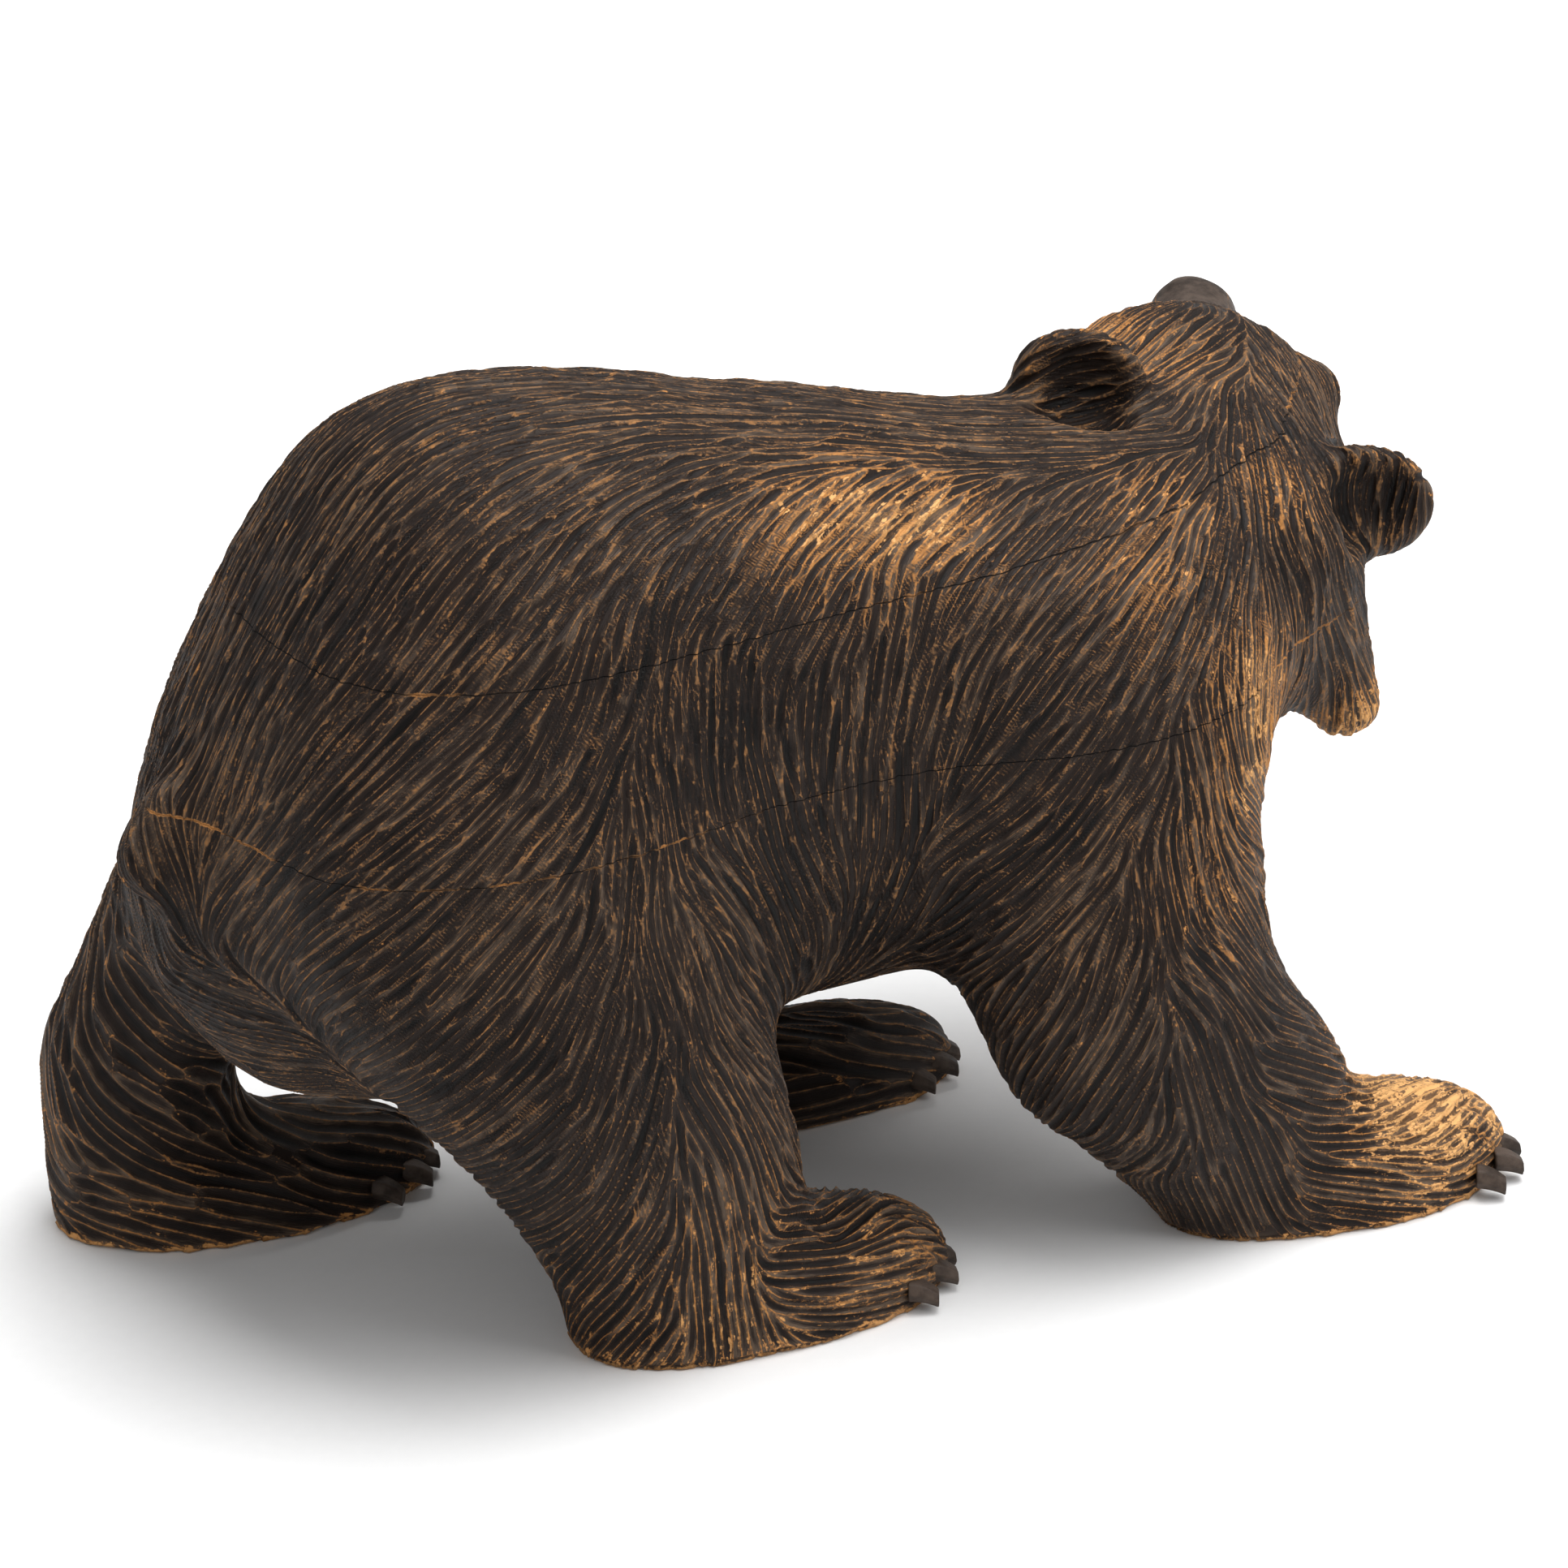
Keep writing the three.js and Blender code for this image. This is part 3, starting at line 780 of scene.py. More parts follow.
# ---------- the cut skin ----------
# The corners of a mesh sorted into the cells of a lattice, so that those near a place are found quickly.
class CornerCells:
    def __init__(self, places, cell):
        self.cell = cell
        self.low = places.min(axis=0) - 3 * cell
        self.shape = (np.ceil((places.max(axis=0) - self.low) / cell) + 4).astype(np.int64)
        key = self.keyOf(np.floor((places - self.low) / cell).astype(np.int64))
        self.order = np.argsort(key, kind="stable")
        self.key = key[self.order]

    def keyOf(self, c):
        return (c[:, 0] * self.shape[1] + c[:, 1]) * self.shape[2] + c[:, 2]

    # every pair of a point and a corner, the corner lying in a cell that the point reaches
    def pairs(self, points, reach):
        home = np.floor((points - self.low) / self.cell).astype(np.int64)
        steps = int(math.ceil(reach.max() / self.cell))
        span = np.arange(-steps, steps + 1)
        for offset in np.stack(np.meshgrid(span, span, span, indexing="ij"), axis=-1).reshape(-1, 3):
            middle = (home + offset + 0.5) * self.cell + self.low
            far = np.linalg.norm(np.maximum(np.abs(middle - points) - self.cell / 2, 0), axis=1)
            near = np.flatnonzero(far < reach)
            wanted = self.keyOf(home[near] + offset)
            first = np.searchsorted(self.key, wanted, side="left")
            count = np.searchsorted(self.key, wanted, side="right") - first
            pick = np.repeat(near, count)
            if len(pick):
                turn = np.arange(len(pick)) - np.repeat(np.cumsum(count) - count, count)
                yield pick, self.order[np.repeat(first, count) + turn]


# A gouge leaves a round-bottomed trough: its depth is the cut's depth times 1 - (d / halfWidth)^2 at a
# distance d from its line. The deepest of the cuts over a place is what shows there, so neighbouring troughs
# meet in sharp crests. How much deeper it goes than the next one tells how far off the crest is.
def cutSkin(places, normals, lines, halfWidths, depths, rises):
    points, ways, info = [], [], []
    for n, line in enumerate(lines):
        way = np.gradient(line, axis=0)
        way /= np.maximum(np.linalg.norm(way, axis=1), 1e-9)[:, None]
        run = np.arange(len(line)) * gouge["step"]
        rise = np.minimum(1, np.minimum((run + 0.3) / rises[n][0], (run[-1] - run + 0.3) / rises[n][1]))
        deep = depths[n] * (0.45 + 0.55 * np.sin(np.clip(rise, 0, 1) * math.pi / 2))
        curve = depths[n] / halfWidths[n] ** 2
        slope = np.gradient(deep) / gouge["step"]
        points.append(line)
        ways.append(way)
        info.append(np.stack([deep, curve * np.ones(len(line)), n * np.ones(len(line)), slope, run], axis=1))
    points, ways, info = np.concatenate(points), np.concatenate(ways), np.concatenate(info)
    reach = np.sqrt(info[:, 0] / info[:, 1]) + 0.3
    cells = CornerCells(places, 1.6)
    best = np.zeros(len(places), dtype=np.float32)
    owner = np.full(len(places), -1, dtype=np.int32)
    aside = np.zeros(len(places), dtype=np.float32)
    along = np.zeros(len(places), dtype=np.float32)
    second = np.zeros(len(places), dtype=np.float32)
    for turn in (1, 2):  # the deepest cut over each corner, then the next
        for pick, corner in cells.pairs(points, reach):
            gap = places[corner] - points[pick]
            ahead = (gap * ways[pick]).sum(axis=1)
            lift = (gap * normals[corner]).sum(axis=1)
            off = np.maximum(np.square(gap).sum(axis=1) - ahead**2 - lift**2, 0)
            value = (info[pick, 0] + info[pick, 3] * ahead - info[pick, 1] * off).astype(np.float32)
            fits = (np.abs(ahead) < 0.62 * gouge["step"]) & (np.abs(lift) < 4)
            if turn == 1:
                good = np.flatnonzero(fits & (value > best[corner]))
            else:
                good = np.flatnonzero(fits & (value > second[corner]) & (info[pick, 2] != owner[corner]))
            good = good[np.argsort(value[good], kind="stable")]
            corner, pick = corner[good], pick[good]
            if turn == 2:
                second[corner] = value[good]
                continue
            best[corner] = value[good]
            owner[corner] = info[pick, 2]
            side = np.cross(normals[corner], ways[pick])
            aside[corner] = (gap[good] * side).sum(axis=1)
            along[corner] = info[pick, 4] + ahead[good]
    return best, second, owner, aside, along


# A value averaged over the corners round about, a number of times.
def softened(values, faces, times):
    count = np.bincount(faces.ravel(), minlength=len(values))
    for _ in range(times):
        middle = values[faces].mean(axis=1)
        values = np.bincount(faces.ravel(), np.repeat(middle, 4), len(values)) / count
    return values


# Each cut has a tone of its own, so that each trough can take the stain in its own way. The place across a
# trough is a turn on a circle, 0 along its middle and half a turn on the crest to either side, given as
# cosine and sine, so that it runs on smoothly from one trough to the next.
def carve():
    lines, halfWidths, depths, rises = [], [], [], []
    for cut in cuts:
        bold = boldness(cut[len(cut) // 2][None])[0]
        kind = cutKind(cut[len(cut) // 2])
        size, flat = gouge["breadths"][kind], gouge["flatness"][kind]
        lines.append(cut)
        halfWidths.append(rng.uniform(*gouge["halfWidth"]) * flat * math.sqrt(size / bold))
        depths.append(rng.uniform(*gouge["depth"]) * size**0.3)
        rises.append((rng.uniform(4, 9), rng.uniform(6, 14)))
    for line, halfWidth, depth in toeCuts() + faceCuts():
        lines.append(line)
        halfWidths.append(halfWidth)
        depths.append(depth)
        rises.append((3, 3))
    best, second, owner, aside, along = cutSkin(skin, skinNormals, lines, halfWidths, depths, rises)
    tone = np.append(rng.random(len(lines)), 0.5)[owner]
    turn = (1 - np.clip((best - second) / 1.6, 0, 1)) * math.pi
    flank = np.clip((np.abs(aside) - 0.15) / 0.35, 0, 1)  # nothing at a cut's end, where no crest runs
    across = np.stack([np.cos(turn), np.sin(turn) * np.sign(aside), flank], axis=1)
    place = np.stack([aside, along, owner * 3.7], axis=1)
    best = np.where(furred(skin) & (best < gouge["leastDepth"]), gouge["leastDepth"], best)
    return best, tone, across, place


# How boldly the fur is cut: deeper low on the flanks and on the legs, shallower on the back and the face.
def boldness(p):
    return np.clip(1.5 - 0.006 * (p[:, 2] - 40), 0.75, 1.6) * np.where(toHead(p)[:, 0] > 20, 0.85, 1.0)


sunk, tone, across, cutPlace = carve()
smoothWood = 1.0 - furred(skin)
raised = np.where(sunk > 0, gouge["proud"], gouge["proudUncut"])
raised = softened(raised, skinFaces, 6)  # the rise fades out where the cuts stop
carved = skin + skinNormals * (raised - sunk)[:, None]
carved[:, 2] = np.maximum(carved[:, 2], 0)
onFloor = skin[:, 2] < 0.05
carved[onFloor] = skin[onFloor]
carved = carved + shift
print("carved")


# ---------- how the skin shows its cuts ----------
# How far a place stands above the skin round about, in mm: crests are above, troughs below.
def standing(places, normals, faces, times):
    around = np.stack([softened(places[:, n], faces, times) for n in range(3)], axis=1)
    return ((places - around) * normals).sum(axis=1)


# Where the stain is rubbed through to the pale wood: places, reach and strength.
rubbed = [
    [6, -33, 163, 11, 0.72],
    [-8, -34, 163, 9, 0.65],
    [20, -32, 161, 9, 0.7],
    [62, -42, 142, 9, 0.45],
    [84, -46, 112, 13, 0.7],
    [80, -52, 98, 12, 0.7],
    [74, -30, 151, 10, 0.42],
    [118, -62, 16, 17, 1.0],
    [134, -60, 10, 12, 0.9],
    [108, -66, 26, 12, 0.5],
    [70, -60, 84, 14, 0.4],
    [88, 44, 158, 12, 0.8],
    [112, -24, 150, 10, 0.6],
    [127, -14, 88, 7, 1.0],
    [-44, -62, 6, 24, 0.5],
    [-6, -56, 8, 14, 0.5],
    [-128, 34, 8, 22, 0.5],
    [-140, 44, 30, 14, 0.6],
    [96, 22, 168, 14, 0.5],
]


# Where the colour is made darker and less rubbed: painted shade on the rump and in the hollow backs of the
# ears, which lie in shade, and plain darkening on the left legs and on the flank above the belly.
darkenedAndShaded = [
    [-128, -30, 96, 40, 0.3],
    [-118, 40, 52, 38, 0.5],
    [50, 48, 34, 40, 0.5],
    [20, -40, 62, 22, 0.2],
    *[[*fromHead(np.array([place], float))[0], 12, 0.4] for place in ((-8, 33, 8), (-8, -36, 10))],
]


# The greatest of the rubbed places' bells less the sum of the darkened ones', part of them painted shade,
# each bell being strength * exp(-d^2 / (2 reach^2)).
def wearLessShadeOf(p):
    wearLessShade = np.zeros(len(p))
    for x, y, z, reach, strength in rubbed:
        away = np.square(p - (x, y, z)).sum(axis=1)
        wearLessShade = np.maximum(wearLessShade, strength * np.exp(-away / (2 * reach * reach)))
    for x, y, z, reach, strength in darkenedAndShaded:
        away = np.square(p - (x, y, z)).sum(axis=1)
        wearLessShade -= strength * np.exp(-away / (2 * reach * reach))
    soleEdge = np.exp(-p[:, 2] / 1.5) * 0.8
    return np.maximum(wearLessShade, soleEdge)


# the wear, less the painted shade of the darkened places
wearLessShade = wearLessShadeOf(skin)
carvedNormals = normalsOf(carved, skinFaces)
lift = softened(standing(carved, carvedNormals, skinFaces, 5), skinFaces, 1)
edge = standing(carved, skinNormals, skinFaces, 40)


# ---------- wood, brought to the frame's box and cut into pieces that close ----------
# The carving is drawn a hair larger than the boards' facets, so each side is brought to the frame's box.
def fitted(p):
    low, high = (np.array(corner) / mm for corner in cadBox)
    ownLow, ownHigh = p.min(axis=0), p.max(axis=0)
    p = p.copy()
    for axis in (0, 1):
        limit = 0.999 * min(-low[axis], high[axis])
        p[:, axis] *= min(1, limit / max(-ownLow[axis], ownHigh[axis]))
    p[:, 2] *= min(1, 0.999 * high[2] / ownHigh[2])
    return p


carved = fitted(carved)
pieceLimit = 92000  # faces in a piece
beyond = 1e4  # a mark far outside the carving, where nothing is cut


def addValues(mesh, name, values):
    kind = "FLOAT" if values.ndim == 1 else "FLOAT_VECTOR"
    field = "value" if values.ndim == 1 else "vector"
    mesh.attributes.new(name, kind, "POINT").data.foreach_set(field, values.astype(np.float32).ravel())


# One piece of the wood, cut out of the skin by upright planes across it and level planes at the seams. The
# edges that a plane makes keep its number. Where an upright cut meets a level one, a straight edge, or chord,
# runs through the wood from skin to skin, so that every cut has a closed outline and is filled flat.
def woodPiece(name, board, near, far, low, high):
    x, z = carved[skinFaces, 0], carved[skinFaces, 2]
    own = (x.max(axis=1) > near) & (x.min(axis=1) < far) & (z.max(axis=1) > low) & (z.min(axis=1) < high)
    used, again = np.unique(skinFaces[own], return_inverse=True)
    thing = makeObject(name, carved[used] * mm, again.reshape(-1, 4))
    mesh = thing.data
    for key, value in skinValues.items():
        addValues(mesh, key, value[used])
    model = bmesh.new()
    model.from_mesh(mesh)
    planes = [(0, near, -1), (0, far, 1), (2, low, -1), (2, high, 1)]
    planes = [plane for plane in planes if abs(plane[1]) < beyond / 2]
    planeOf = model.edges.layers.int.new("plane")
    for n, (axis, at, way) in enumerate(planes, 1):
        outward = Vector([way * (side == axis) for side in range(3)])
        every = [*model.verts, *model.edges, *model.faces]
        cut = bmesh.ops.bisect_plane(model, geom=every, dist=1e-6, plane_co=outward * at * way * mm,
                                     plane_no=outward, clear_outer=True)["geom_cut"]
        for part in cut:
            if isinstance(part, bmesh.types.BMEdge):
                part[planeOf] = n
    rim = [e for e in model.edges if e.is_boundary]
    outlines = [{e for e in rim if e[planeOf] == n + 1} for n in range(len(planes))]
    ends = []
    for outline in outlines:
        times = Counter(v for e in outline for v in e.verts)
        ends.append({v for v, count in times.items() if count % 2})
    chords = set()
    for n, upright in enumerate(planes):
        for m, level in enumerate(planes):
            if upright[0] == 0 and level[0] == 2:
                meeting = sorted(ends[n] & ends[m], key=lambda v: v.co.y)
                for pair in zip(meeting[::2], meeting[1::2]):
                    chord = model.edges.get(pair) or model.edges.new(pair)
                    chords.add(chord)
                    outlines[n] ^= {chord}  # an outline of one short edge turns into the chord itself
                    outlines[m] ^= {chord}
    for plane, outline in zip(planes, outlines):
        edges = sorted(outline, key=lambda e: tuple(e.verts[0].co + e.verts[1].co))
        made = bmesh.ops.edgeloop_fill(model, edges=edges)["faces"] if edges else []
        left = [e for e in edges if not e.is_manifold]
        if set(left) - chords:
            more = bmesh.ops.triangle_fill(model, edges=left, use_beauty=True)["geom"]
            made += [part for part in more if isinstance(part, bmesh.types.BMFace)]
        for face in made:
            face.normal_update()
            face.smooth = False
            if face.normal[plane[0]] * plane[2] < 0:
                face.normal_flip()
        bmesh.ops.triangulate(model, faces=made, quad_method="BEAUTY", ngon_method="EAR_CLIP")
    model.edges.layers.int.remove(planeOf)
    print(name, "open edges", sum(not e.is_manifold for e in model.edges), "faces", len(model.faces))
    model.to_mesh(mesh)
    model.free()
    keepNormals(mesh)
    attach(thing, "root")
    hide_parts(board)
    return thing


# The skin is shaded with the normals of the whole, so that no line shows where a piece ends; the cuts are
# shaded flat.
def keepNormals(mesh):
    normals = np.empty(len(mesh.vertices) * 3)
    mesh.attributes["normalOfWhole"].data.foreach_get("vector", normals)
    mesh.attributes.remove(mesh.attributes["normalOfWhole"])
    corner = np.empty(len(mesh.loops), dtype=np.int32)
    mesh.loops.foreach_get("vertex_index", corner)
    smooth, sides = np.empty(len(mesh.polygons), dtype=bool), np.empty(len(mesh.polygons), dtype=np.int32)
    mesh.polygons.foreach_get("use_smooth", smooth)
    mesh.polygons.foreach_get("loop_total", sides)
    normals = normals.reshape(-1, 3)[corner] * np.repeat(smooth, sides)[:, None]
    mesh.normals_split_custom_set(normals.tolist())


skinValues = {
    "across": across,
    "tone": tone,
    "wearLessShade": wearLessShade,
    "lift": lift,
    "edge": edge,
    "smoothWood": smoothWood,
    "cutPlace": cutPlace,
    "level": carved[:, 2],
    "normalOfWhole": carvedNormals,
}


def woodPieces():
    middle = carved[skinFaces].mean(axis=1)
    marks = [-beyond, *form["seams"], beyond]
    things = []
    for board, low, high in zip(("lower_board", "middle_board", "upper_board"), marks, marks[1:]):
        x = middle[(middle[:, 2] >= low) & (middle[:, 2] < high), 0]
        parts = math.ceil(len(x) / pieceLimit)
        cutsAcross = [-beyond, *np.round(np.quantile(x, np.arange(1, parts) / parts), 1), beyond]
        gap = form["seamGap"] / 2
        for part in range(parts):
            name = board.replace("board", "carving") + "_" + "abcdefgh"[part]
            things.append(woodPiece(name, board, *cutsAcross[part : part + 2], low + gap, high - gap))
    return things


wood = woodPieces()
print("wood in", len(wood), "pieces")


# ---------- claws ----------
# Five blunt claws stand out of the front of each paw, cut smooth: each is a flattened bar of six sides that
# narrows and drops towards its tip.
claw = {
    "places": (-0.68, -0.36, 0.0, 0.36, 0.68),  # across the paw, as shares of its half width
    "inside": 6.0,  # length within the paw
    "outside": 0.3,
    "halfWidth": 2.9,
    "halfHeight": 2.6,
    "narrowing": 0.25,  # share of its width lost by the tip
    "rootHeight": 4.8,
    "drop": 2.2,  # from root to tip
    "splay": 0.55,  # how far the outer claws turn outwards
    "edge": 0.35,  # of its rounded edges
}


def clawShape(foot, heading):
    t = np.linspace(0, 1, 6)
    around = np.radians([0, 55, 125, 180, 235, 305])
    along = -claw["inside"] + (claw["inside"] + claw["outside"]) * t
    narrow = 1 - claw["narrowing"] * t**2
    x = np.repeat(along[:, None], 6, axis=1)
    y = claw["halfWidth"] * narrow[:, None] * np.cos(around)
    height = claw["rootHeight"] - claw["drop"] * t**2
    z = claw["halfHeight"] * narrow[:, None] * np.sin(around) + height[:, None]
    aheadX, aheadY = np.cos(heading), np.sin(heading)
    turned = np.stack([x * aheadX - y * aheadY, x * aheadY + y * aheadX, z], axis=-1)
    corners = turned.reshape(-1, 3) + (*foot, 0)
    ring = np.arange(6)
    after = (ring + 1) % 6
    sides = [6 * n + np.stack([ring, after, 6 + after, 6 + ring], axis=1) for n in range(5)]
    return corners, [*np.concatenate(sides)[:, ::-1].tolist(), ring.tolist(), (30 + ring)[::-1].tolist()]


def claws():
    things = []
    names = ("claws_hind_right", "claws_hind_left", "claws_fore_right", "claws_fore_left")
    for name, (centre, radii), turn in zip(names, paws, pawTurns):
        turn = math.radians(turn)
        corners, faces = [], []
        for side in claw["places"]:
            x, y = radii[0] * math.sqrt(1 - side * side), radii[1] * side
            foot = (centre[0] + x * math.cos(turn) - y * math.sin(turn),
                    centre[1] + x * math.sin(turn) + y * math.cos(turn))
            own, ownFaces = clawShape(foot, turn + claw["splay"] * side)
            faces += [[n + sum(map(len, corners)) for n in face] for face in ownFaces]
            corners.append(own)
        corners = np.concatenate(corners) + shift
        corners[:, 2] = np.maximum(corners[:, 2], 0.3)
        corners[:, 0] = np.minimum(corners[:, 0], cadBox[1][0] / mm - 0.2)
        mesh = bpy.data.meshes.new(name)
        mesh.from_pydata((corners * mm).tolist(), [], faces)
        model = bmesh.new()
        model.from_mesh(mesh)
        bmesh.ops.bevel(model, geom=model.edges, offset=claw["edge"] * mm, segments=2, profile=0.5,
                        affect="EDGES")
        bmesh.ops.recalc_face_normals(model, faces=model.faces)
        model.to_mesh(mesh)
        model.free()
        addValues(mesh, "smoothWood", np.ones(len(mesh.vertices)))
        addValues(mesh, "tone", np.full(len(mesh.vertices), 0.6))
        addValues(mesh, "level", np.zeros(len(mesh.vertices)))
        thing = bpy.data.objects.new(name, mesh)
        bpy.context.scene.collection.objects.link(thing)
        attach(thing, "root")
        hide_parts("lower_board")
        things.append(thing)
    return things


wood += claws()
print("claws in place")


# ---------- glass eyes ----------
def glassEye(node):
    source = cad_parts[node].data
    model = bmesh.new()
    model.from_mesh(source)
    bmesh.ops.remove_doubles(model, verts=model.verts, dist=0.00002)
    mesh = bpy.data.meshes.new(node.replace("eye", "glassEye"))
    model.to_mesh(mesh)
    model.free()
    mesh.polygons.foreach_set("use_smooth", np.ones(len(mesh.polygons), dtype=bool))
    places = np.empty(len(mesh.vertices) * 3)
    mesh.vertices.foreach_get("co", places)
    places = places.reshape(-1, 3)
    centre = places.mean(axis=0)
    tail = places[np.argmax(np.linalg.norm(places - centre, axis=1))]
    look = (centre - tail) / np.linalg.norm(centre - tail)
    ball = centre + look * 1.2 * mm
    turned = (places - ball) / np.maximum(np.linalg.norm(places - ball, axis=1), 1e-9)[:, None]
    addValues(mesh, "facing", turned @ look)
    thing = bpy.data.objects.new(mesh.name, mesh)
    bpy.context.scene.collection.objects.link(thing)
    rounding = thing.modifiers.new("round", "SUBSURF")
    rounding.levels = rounding.render_levels = 3
    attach(thing, "root")
    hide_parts(node)
    return thing


eyes = [glassEye("eye_left"), glassEye("eye_right")]


# ---------- materials ----------
def fromHex(code):
    parts = np.array([int(code[n : n + 2], 16) for n in (1, 3, 5)]) / 255
    linear = np.where(parts <= 0.04045, parts / 12.92, ((parts + 0.055) / 1.055) ** 2.4)
    return (*linear, 1.0)


# Adds a node with its settings; an input is a number, a colour or another node's output.
def add(tree, kind, inputs=None, **settings):
    made = tree.nodes.new(kind)
    for key, value in settings.items():
        setattr(made, key, value)
    for key, value in (inputs or {}).items():
        if isinstance(value, bpy.types.NodeSocket):
            tree.links.new(value, made.inputs[key])
        else:
            made.inputs[key].default_value = value
    return made


def newMaterial(name):
    material = bpy.data.materials.new(name)
    material.use_nodes = True
    tree = material.node_tree
    return material, tree, tree.nodes["Principled BSDF"]


def sums(tree, operation, a, b):
    return add(tree, "ShaderNodeMath", {0: a, 1: b}, operation=operation).outputs[0]


def ramped(tree, value, low, high, toLow=0.0, toHigh=1.0):
    inputs = {"Value": value, "From Min": low, "From Max": high, "To Min": toLow, "To Max": toHigh}
    return add(tree, "ShaderNodeMapRange", inputs, interpolation_type="SMOOTHSTEP").outputs["Result"]


def mixed(tree, share, a, b):
    made = add(tree, "ShaderNodeMix", {"Factor": share}, data_type="RGBA")
    for n, value in ((6, a), (7, b)):
        if isinstance(value, bpy.types.NodeSocket):
            tree.links.new(value, made.inputs[n])
        else:
            made.inputs[n].default_value = value
    return made.outputs[2]


def attribute(tree, name, output="Fac"):
    return add(tree, "ShaderNodeAttribute", attribute_name=name).outputs[output]


def noise(tree, place, size, detail=3.0, roughness=0.55, stretch=None):
    if stretch is not None:
        place = add(tree, "ShaderNodeMapping", {"Vector": place, "Scale": stretch}).outputs[0]
    inputs = {"Vector": place, "Scale": 1 / size, "Detail": detail, "Roughness": roughness}
    return add(tree, "ShaderNodeTexNoise", inputs).outputs["Fac"]


# Linden wood stained nearly black and waxed, the stain rubbed off the crests: the troughs are a dark, warm
# brown with a grey-brown sheen painted in where lighter, and the ridges between them show as fine tan lines.
def stainedLinden():
    values = {"deep": "#070403", "dark": "#1f1510", "paintedSheen": "#5d4d3f", "brown": "#846242", "tan": "#bd8044",
              "pale": "#e0ab6e", "specular": 0.18}
    material, tree, shader = newMaterial("stained carved linden")

    def weighed(*pairs):  # the sum of values times their weights
        total = None
        for value, weight in pairs:
            part = sums(tree, "MULTIPLY", value, weight)
            total = part if total is None else sums(tree, "ADD", total, part)
        return total

    def centred(value):
        return sums(tree, "SUBTRACT", value, 0.5)

    where = add(tree, "ShaderNodeTexCoord").outputs["Object"]
    turn = add(tree, "ShaderNodeSeparateXYZ", {0: attribute(tree, "across", "Vector")})
    fromMiddle = sums(tree, "ABSOLUTE", sums(tree, "ARCTAN2", turn.outputs[1], turn.outputs[0]), 0.0)
    offCrest = sums(tree, "SUBTRACT", math.pi, fromMiddle)  # in turns of a trough, 0 on the crest
    # the wear comes less the painted shade of the darkened places
    wornLessShade, tone = attribute(tree, "wearLessShade"), attribute(tree, "tone")
    lift, edge = attribute(tree, "lift"), attribute(tree, "edge")
    furry = sums(tree, "SUBTRACT", 1.0, attribute(tree, "smoothWood"))
    level = attribute(tree, "level")
    inCut = attribute(tree, "cutPlace", "Vector")
    blotch = noise(tree, where, 30 * mm, 4, 0.6)
    patch = noise(tree, where, 6 * mm, 4, 0.65)
    speck = noise(tree, where, 0.9 * mm, 4, 0.7)
    streak = noise(tree, inCut, 1.0, 3, 0.65, (5.0, 0.3, 1.0))
    shreds = noise(tree, inCut, 1.0, 2, 0.6, (0.9, 0.22, 0.35))
    # painted shade: where the large form lies hollow the colour is made darker and the crest lines narrower,
    # and the stain lies thick there as well
    recessShadeAndStain = sums(tree, "MINIMUM", edge, 0.0)
    lightness = weighed((tone, 0.4), (blotch, 0.9), (patch, 0.4), (streak, 1.0), (lift, 1.6), (recessShadeAndStain, 0.5),
                        (wornLessShade, 0.5))
    base = mixed(tree, ramped(tree, lightness, 0.85, 1.3), fromHex(values["deep"]), fromHex(values["dark"]))
    # painted sheen: where the lightness runs high, a grey-brown is mixed into the base colour for the wax's
    # sheen
    base = mixed(tree, ramped(tree, lightness, 1.35, 1.95), base, fromHex(values["paintedSheen"]))
    handledLessShade = weighed((wornLessShade, 1.0), (patch, 0.5), (centred(speck), 0.6), (centred(streak), 0.6))
    base = mixed(tree, ramped(tree, handledLessShade, 0.75, 1.4, 0.0, 0.8), base, fromHex(values["brown"]))
    # the line along a crest, wider and paler where the figure has been handled, narrower in the painted shade
    # of hollows
    width = weighed((wornLessShade, 0.75), (patch, 0.9), (lift, 1.3), (centred(speck), 1.3), (centred(shreds), 1.2),
                    (centred(blotch), 0.7), (recessShadeAndStain, 0.4))
    width = sums(tree, "SUBTRACT", width, 0.3)
    ratio = sums(tree, "DIVIDE", offCrest, sums(tree, "MAXIMUM", width, 0.02))
    line = sums(tree, "MULTIPLY", ramped(tree, ratio, 0.55, 1.35, 1.0, 0.0), ramped(tree, width, 0.0, 0.3))
    line = sums(tree, "MULTIPLY", sums(tree, "MULTIPLY", line, furry), turn.outputs[2])
    chips = weighed((edge, 0.45), (wornLessShade, 0.55), (centred(speck), 1.0), (centred(shreds), 1.6), (patch, 0.6))
    chips = ramped(tree, chips, 0.74, 0.94)
    # the glue lines of the boards: hair-fine and dark, with chips out of their edges here and there
    for height in form["seams"]:
        off = sums(tree, "ABSOLUTE", sums(tree, "SUBTRACT", level, height), 0.0)
        away = weighed((off, 1.0), (centred(speck), 0.9), (patch, -1.1))
        chips = sums(tree, "MAXIMUM", chips, sums(tree, "MULTIPLY", ramped(tree, away, -0.5, -0.25, 1.0, 0.0),
                                                  ramped(tree, blotch, 0.5, 0.6)))
        base = mixed(tree, ramped(tree, off, 0.06, 0.2, 0.8, 0.0), base, fromHex("#050302"))
        line = sums(tree, "MULTIPLY", line, ramped(tree, off, 0.06, 0.2))
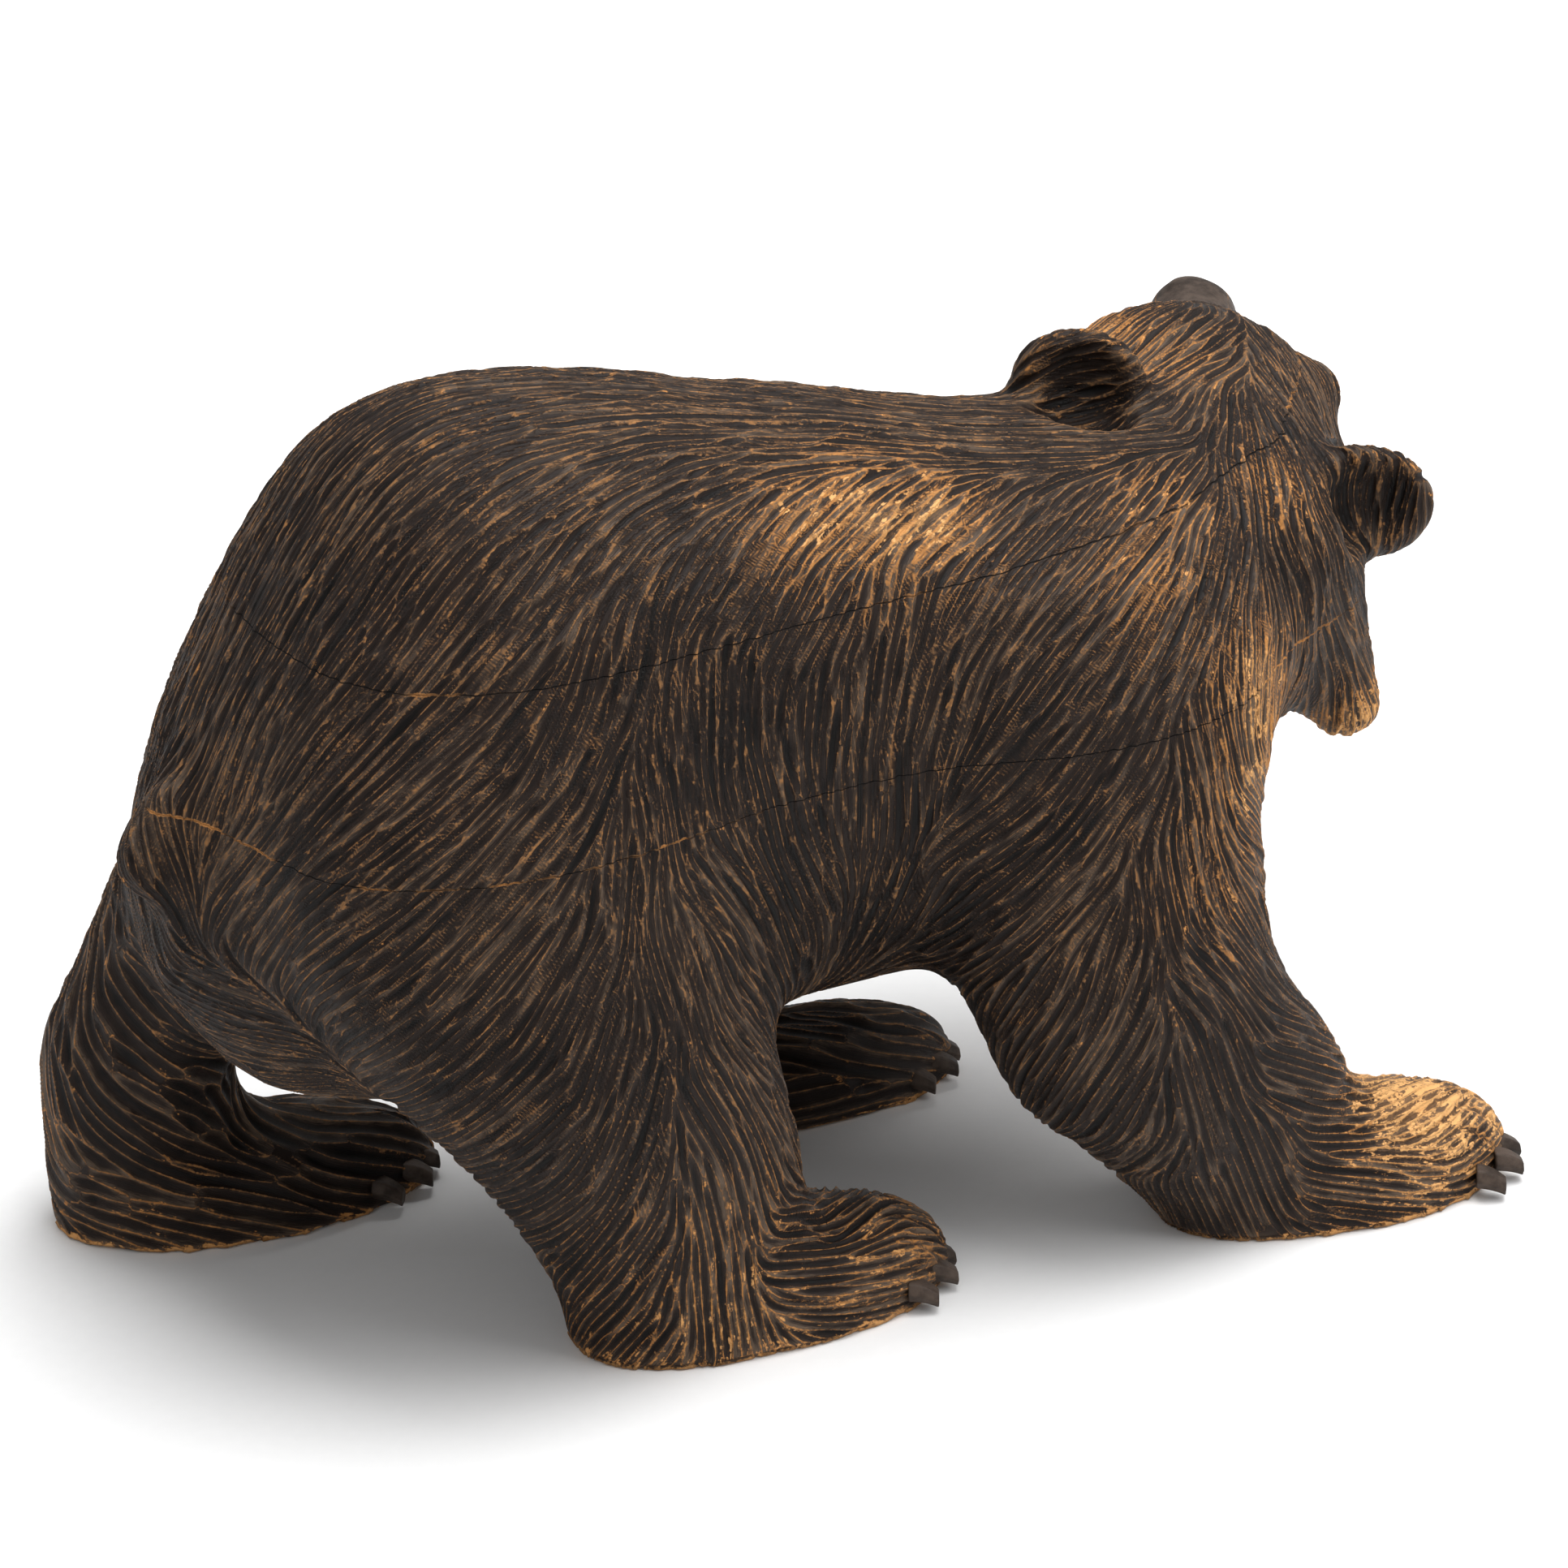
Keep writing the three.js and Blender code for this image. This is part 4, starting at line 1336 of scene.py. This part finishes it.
    # where the knife has left the wood smooth, a soft grey sheen is painted into its colour
    smooth = sums(tree, "SUBTRACT", 1.0, furry)
    paintedSmoothSheen = mixed(tree, ramped(tree, patch, 0.35, 0.65), fromHex("#2c231d"), fromHex("#4c4038"))
    base = mixed(tree, smooth, base, paintedSmoothSheen)
    bare = sums(tree, "MAXIMUM", line, sums(tree, "MULTIPLY", chips, weighed((furry, 0.5), (0.5, 1.0))))
    palest = weighed((wornLessShade, 0.9), (patch, 0.6), (centred(speck), 0.7), (centred(shreds), 0.5), (chips, 0.3))
    tan = mixed(tree, ramped(tree, palest, 0.2, 0.8), fromHex(values["brown"]), fromHex(values["tan"]))
    tan = mixed(tree, ramped(tree, palest, 0.7, 1.4), tan, fromHex(values["pale"]))
    tree.links.new(mixed(tree, bare, base, tan), shader.inputs["Base Color"])
    rough = weighed((speck, 0.3), (bare, 0.2), (streak, 0.15))
    tree.links.new(sums(tree, "ADD", rough, 0.3), shader.inputs["Roughness"])
    shader.inputs["Specular IOR Level"].default_value = values["specular"]
    crestRise = ramped(tree, offCrest, 0.0, 1.6, 1.0, 0.0)
    relief = weighed((streak, 0.6), (speck, 0.3), (sums(tree, "MULTIPLY", crestRise, furry), 0.7))
    bump = add(tree, "ShaderNodeBump", {"Strength": 0.8, "Distance": 0.3 * mm, "Height": relief})
    tree.links.new(bump.outputs[0], shader.inputs["Normal"])
    return material


# Beech dowel rod, planed round and left plain: pale straw with fine darker flecks along the grain.
def beechRod():
    material, tree, shader = newMaterial("plain beech rod")
    where = add(tree, "ShaderNodeTexCoord").outputs["Object"]
    grain = noise(tree, where, 0.9 * mm, 4, 0.6, (1.0, 1.0, 0.08))
    colour = mixed(tree, ramped(tree, grain, 0.35, 0.7), fromHex("#a97c4e"), fromHex("#d6b083"))
    tree.links.new(colour, shader.inputs["Base Color"])
    tree.links.new(ramped(tree, grain, 0.2, 0.8, 0.55, 0.75), shader.inputs["Roughness"])
    bump = add(tree, "ShaderNodeBump", {"Strength": 0.4, "Distance": 0.05 * mm, "Height": grain})
    tree.links.new(bump.outputs[0], shader.inputs["Normal"])
    return material


# Pressed glass eye: a black pupil and a dark amber ring under a polished surface.
def amberGlass():
    material, tree, shader = newMaterial("amber pressed glass")
    facing = attribute(tree, "facing")
    where = add(tree, "ShaderNodeTexCoord").outputs["Object"]
    fleck = noise(tree, where, 0.5 * mm, 3, 0.6)
    ring = mixed(tree, ramped(tree, fleck, 0.3, 0.7), fromHex("#3a1c08"), fromHex("#7a4215"))
    iris = mixed(tree, ramped(tree, facing, 0.86, 0.9), ring, fromHex("#050302"))
    colour = mixed(tree, ramped(tree, facing, 0.55, 0.62), fromHex("#080504"), iris)
    tree.links.new(colour, shader.inputs["Base Color"])
    tree.links.new(ramped(tree, fleck, 0.2, 0.8, 0.04, 0.08), shader.inputs["Roughness"])
    shader.inputs["IOR"].default_value = 1.52
    shader.inputs["Coat Weight"].default_value = 0.6
    return material


def paperFloor():
    material, tree, shader = newMaterial("white paper floor")
    where = add(tree, "ShaderNodeTexCoord").outputs["Object"]
    tooth = noise(tree, where, 3 * mm, 3, 0.6)
    tree.links.new(mixed(tree, tooth, fromHex("#f4f4f4"), fromHex("#f8f8f8")), shader.inputs["Base Color"])
    shader.inputs["Roughness"].default_value = 0.9
    shader.inputs["Specular IOR Level"].default_value = 0.1
    return material


def dress(thing, material):
    thing.data.materials.clear()
    thing.data.materials.append(material)


linden, beech, amber = stainedLinden(), beechRod(), amberGlass()
for piece in wood:
    dress(piece, linden)
for piece in eyes:
    dress(piece, amber)
for name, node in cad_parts.items():
    if "dowel" in name:
        dress(node, beech)
print("materials on")


# ---------- floor, light and camera ----------
room = {"floor": 6.0, "floorBelow": 0.0002, "lampsAim": (0, 0, 0.09), "glow": 0.42}


def studio():
    corners = np.array([[-1, -1, 0], [1, -1, 0], [1, 1, 0], [-1, 1, 0]]) * room["floor"] / 2
    floor = makeObject("floor", corners - (0, 0, room["floorBelow"]), np.array([[0, 1, 2, 3]]), smooth=False)
    dress(floor, paperFloor())
    lamps = {  # place, size and power of each soft box, all turned to the figure's middle
        "overhead": ((0.3, 0.1, 1.6), 1.3, 33),
        "left": ((-1.4, -0.8, 1.2), 0.9, 1.5),
        "right": ((1.1, -1.1, 1.2), 1.1, 13),
    }
    for name, (place, size, power) in lamps.items():
        light = bpy.data.lights.new(name, "AREA")
        light.size, light.energy = size, power
        lamp = bpy.data.objects.new(name, light)
        lamp.location = place
        aim = np.array(room["lampsAim"]) - place
        lamp.rotation_mode = "QUATERNION"
        lamp.rotation_quaternion = Vector(aim).to_track_quat("-Z", "Y")
        bpy.context.scene.collection.objects.link(lamp)
    world = bpy.data.worlds.new("pale room")
    bpy.context.scene.world = world
    world.use_nodes = True
    world.node_tree.nodes["Background"].inputs["Color"].default_value = (1, 1, 1, 1)
    world.node_tree.nodes["Background"].inputs["Strength"].default_value = room["glow"]
    bpy.context.scene.view_settings.view_transform = "Standard"


def standCamera():
    values = {"turn": -26.0, "lift": 27.0, "away": 1.25, "aim": (0, 0, 0.091), "lens": 141.4}
    turn, lift = math.radians(values["turn"]), math.radians(values["lift"])
    back = Vector((math.sin(turn) * math.cos(lift), -math.cos(turn) * math.cos(lift), math.sin(lift)))
    lens = bpy.data.cameras.new("camera")
    lens.lens, lens.sensor_width = values["lens"], 36
    lens.clip_start, lens.clip_end = 0.05, 30
    camera = bpy.data.objects.new("camera", lens)
    camera.location = Vector(values["aim"]) + back * values["away"]
    camera.rotation_mode = "QUATERNION"
    camera.rotation_quaternion = (-back).to_track_quat("-Z", "Y")
    bpy.context.scene.collection.objects.link(camera)
    bpy.context.scene.camera = camera


studio()
standCamera()
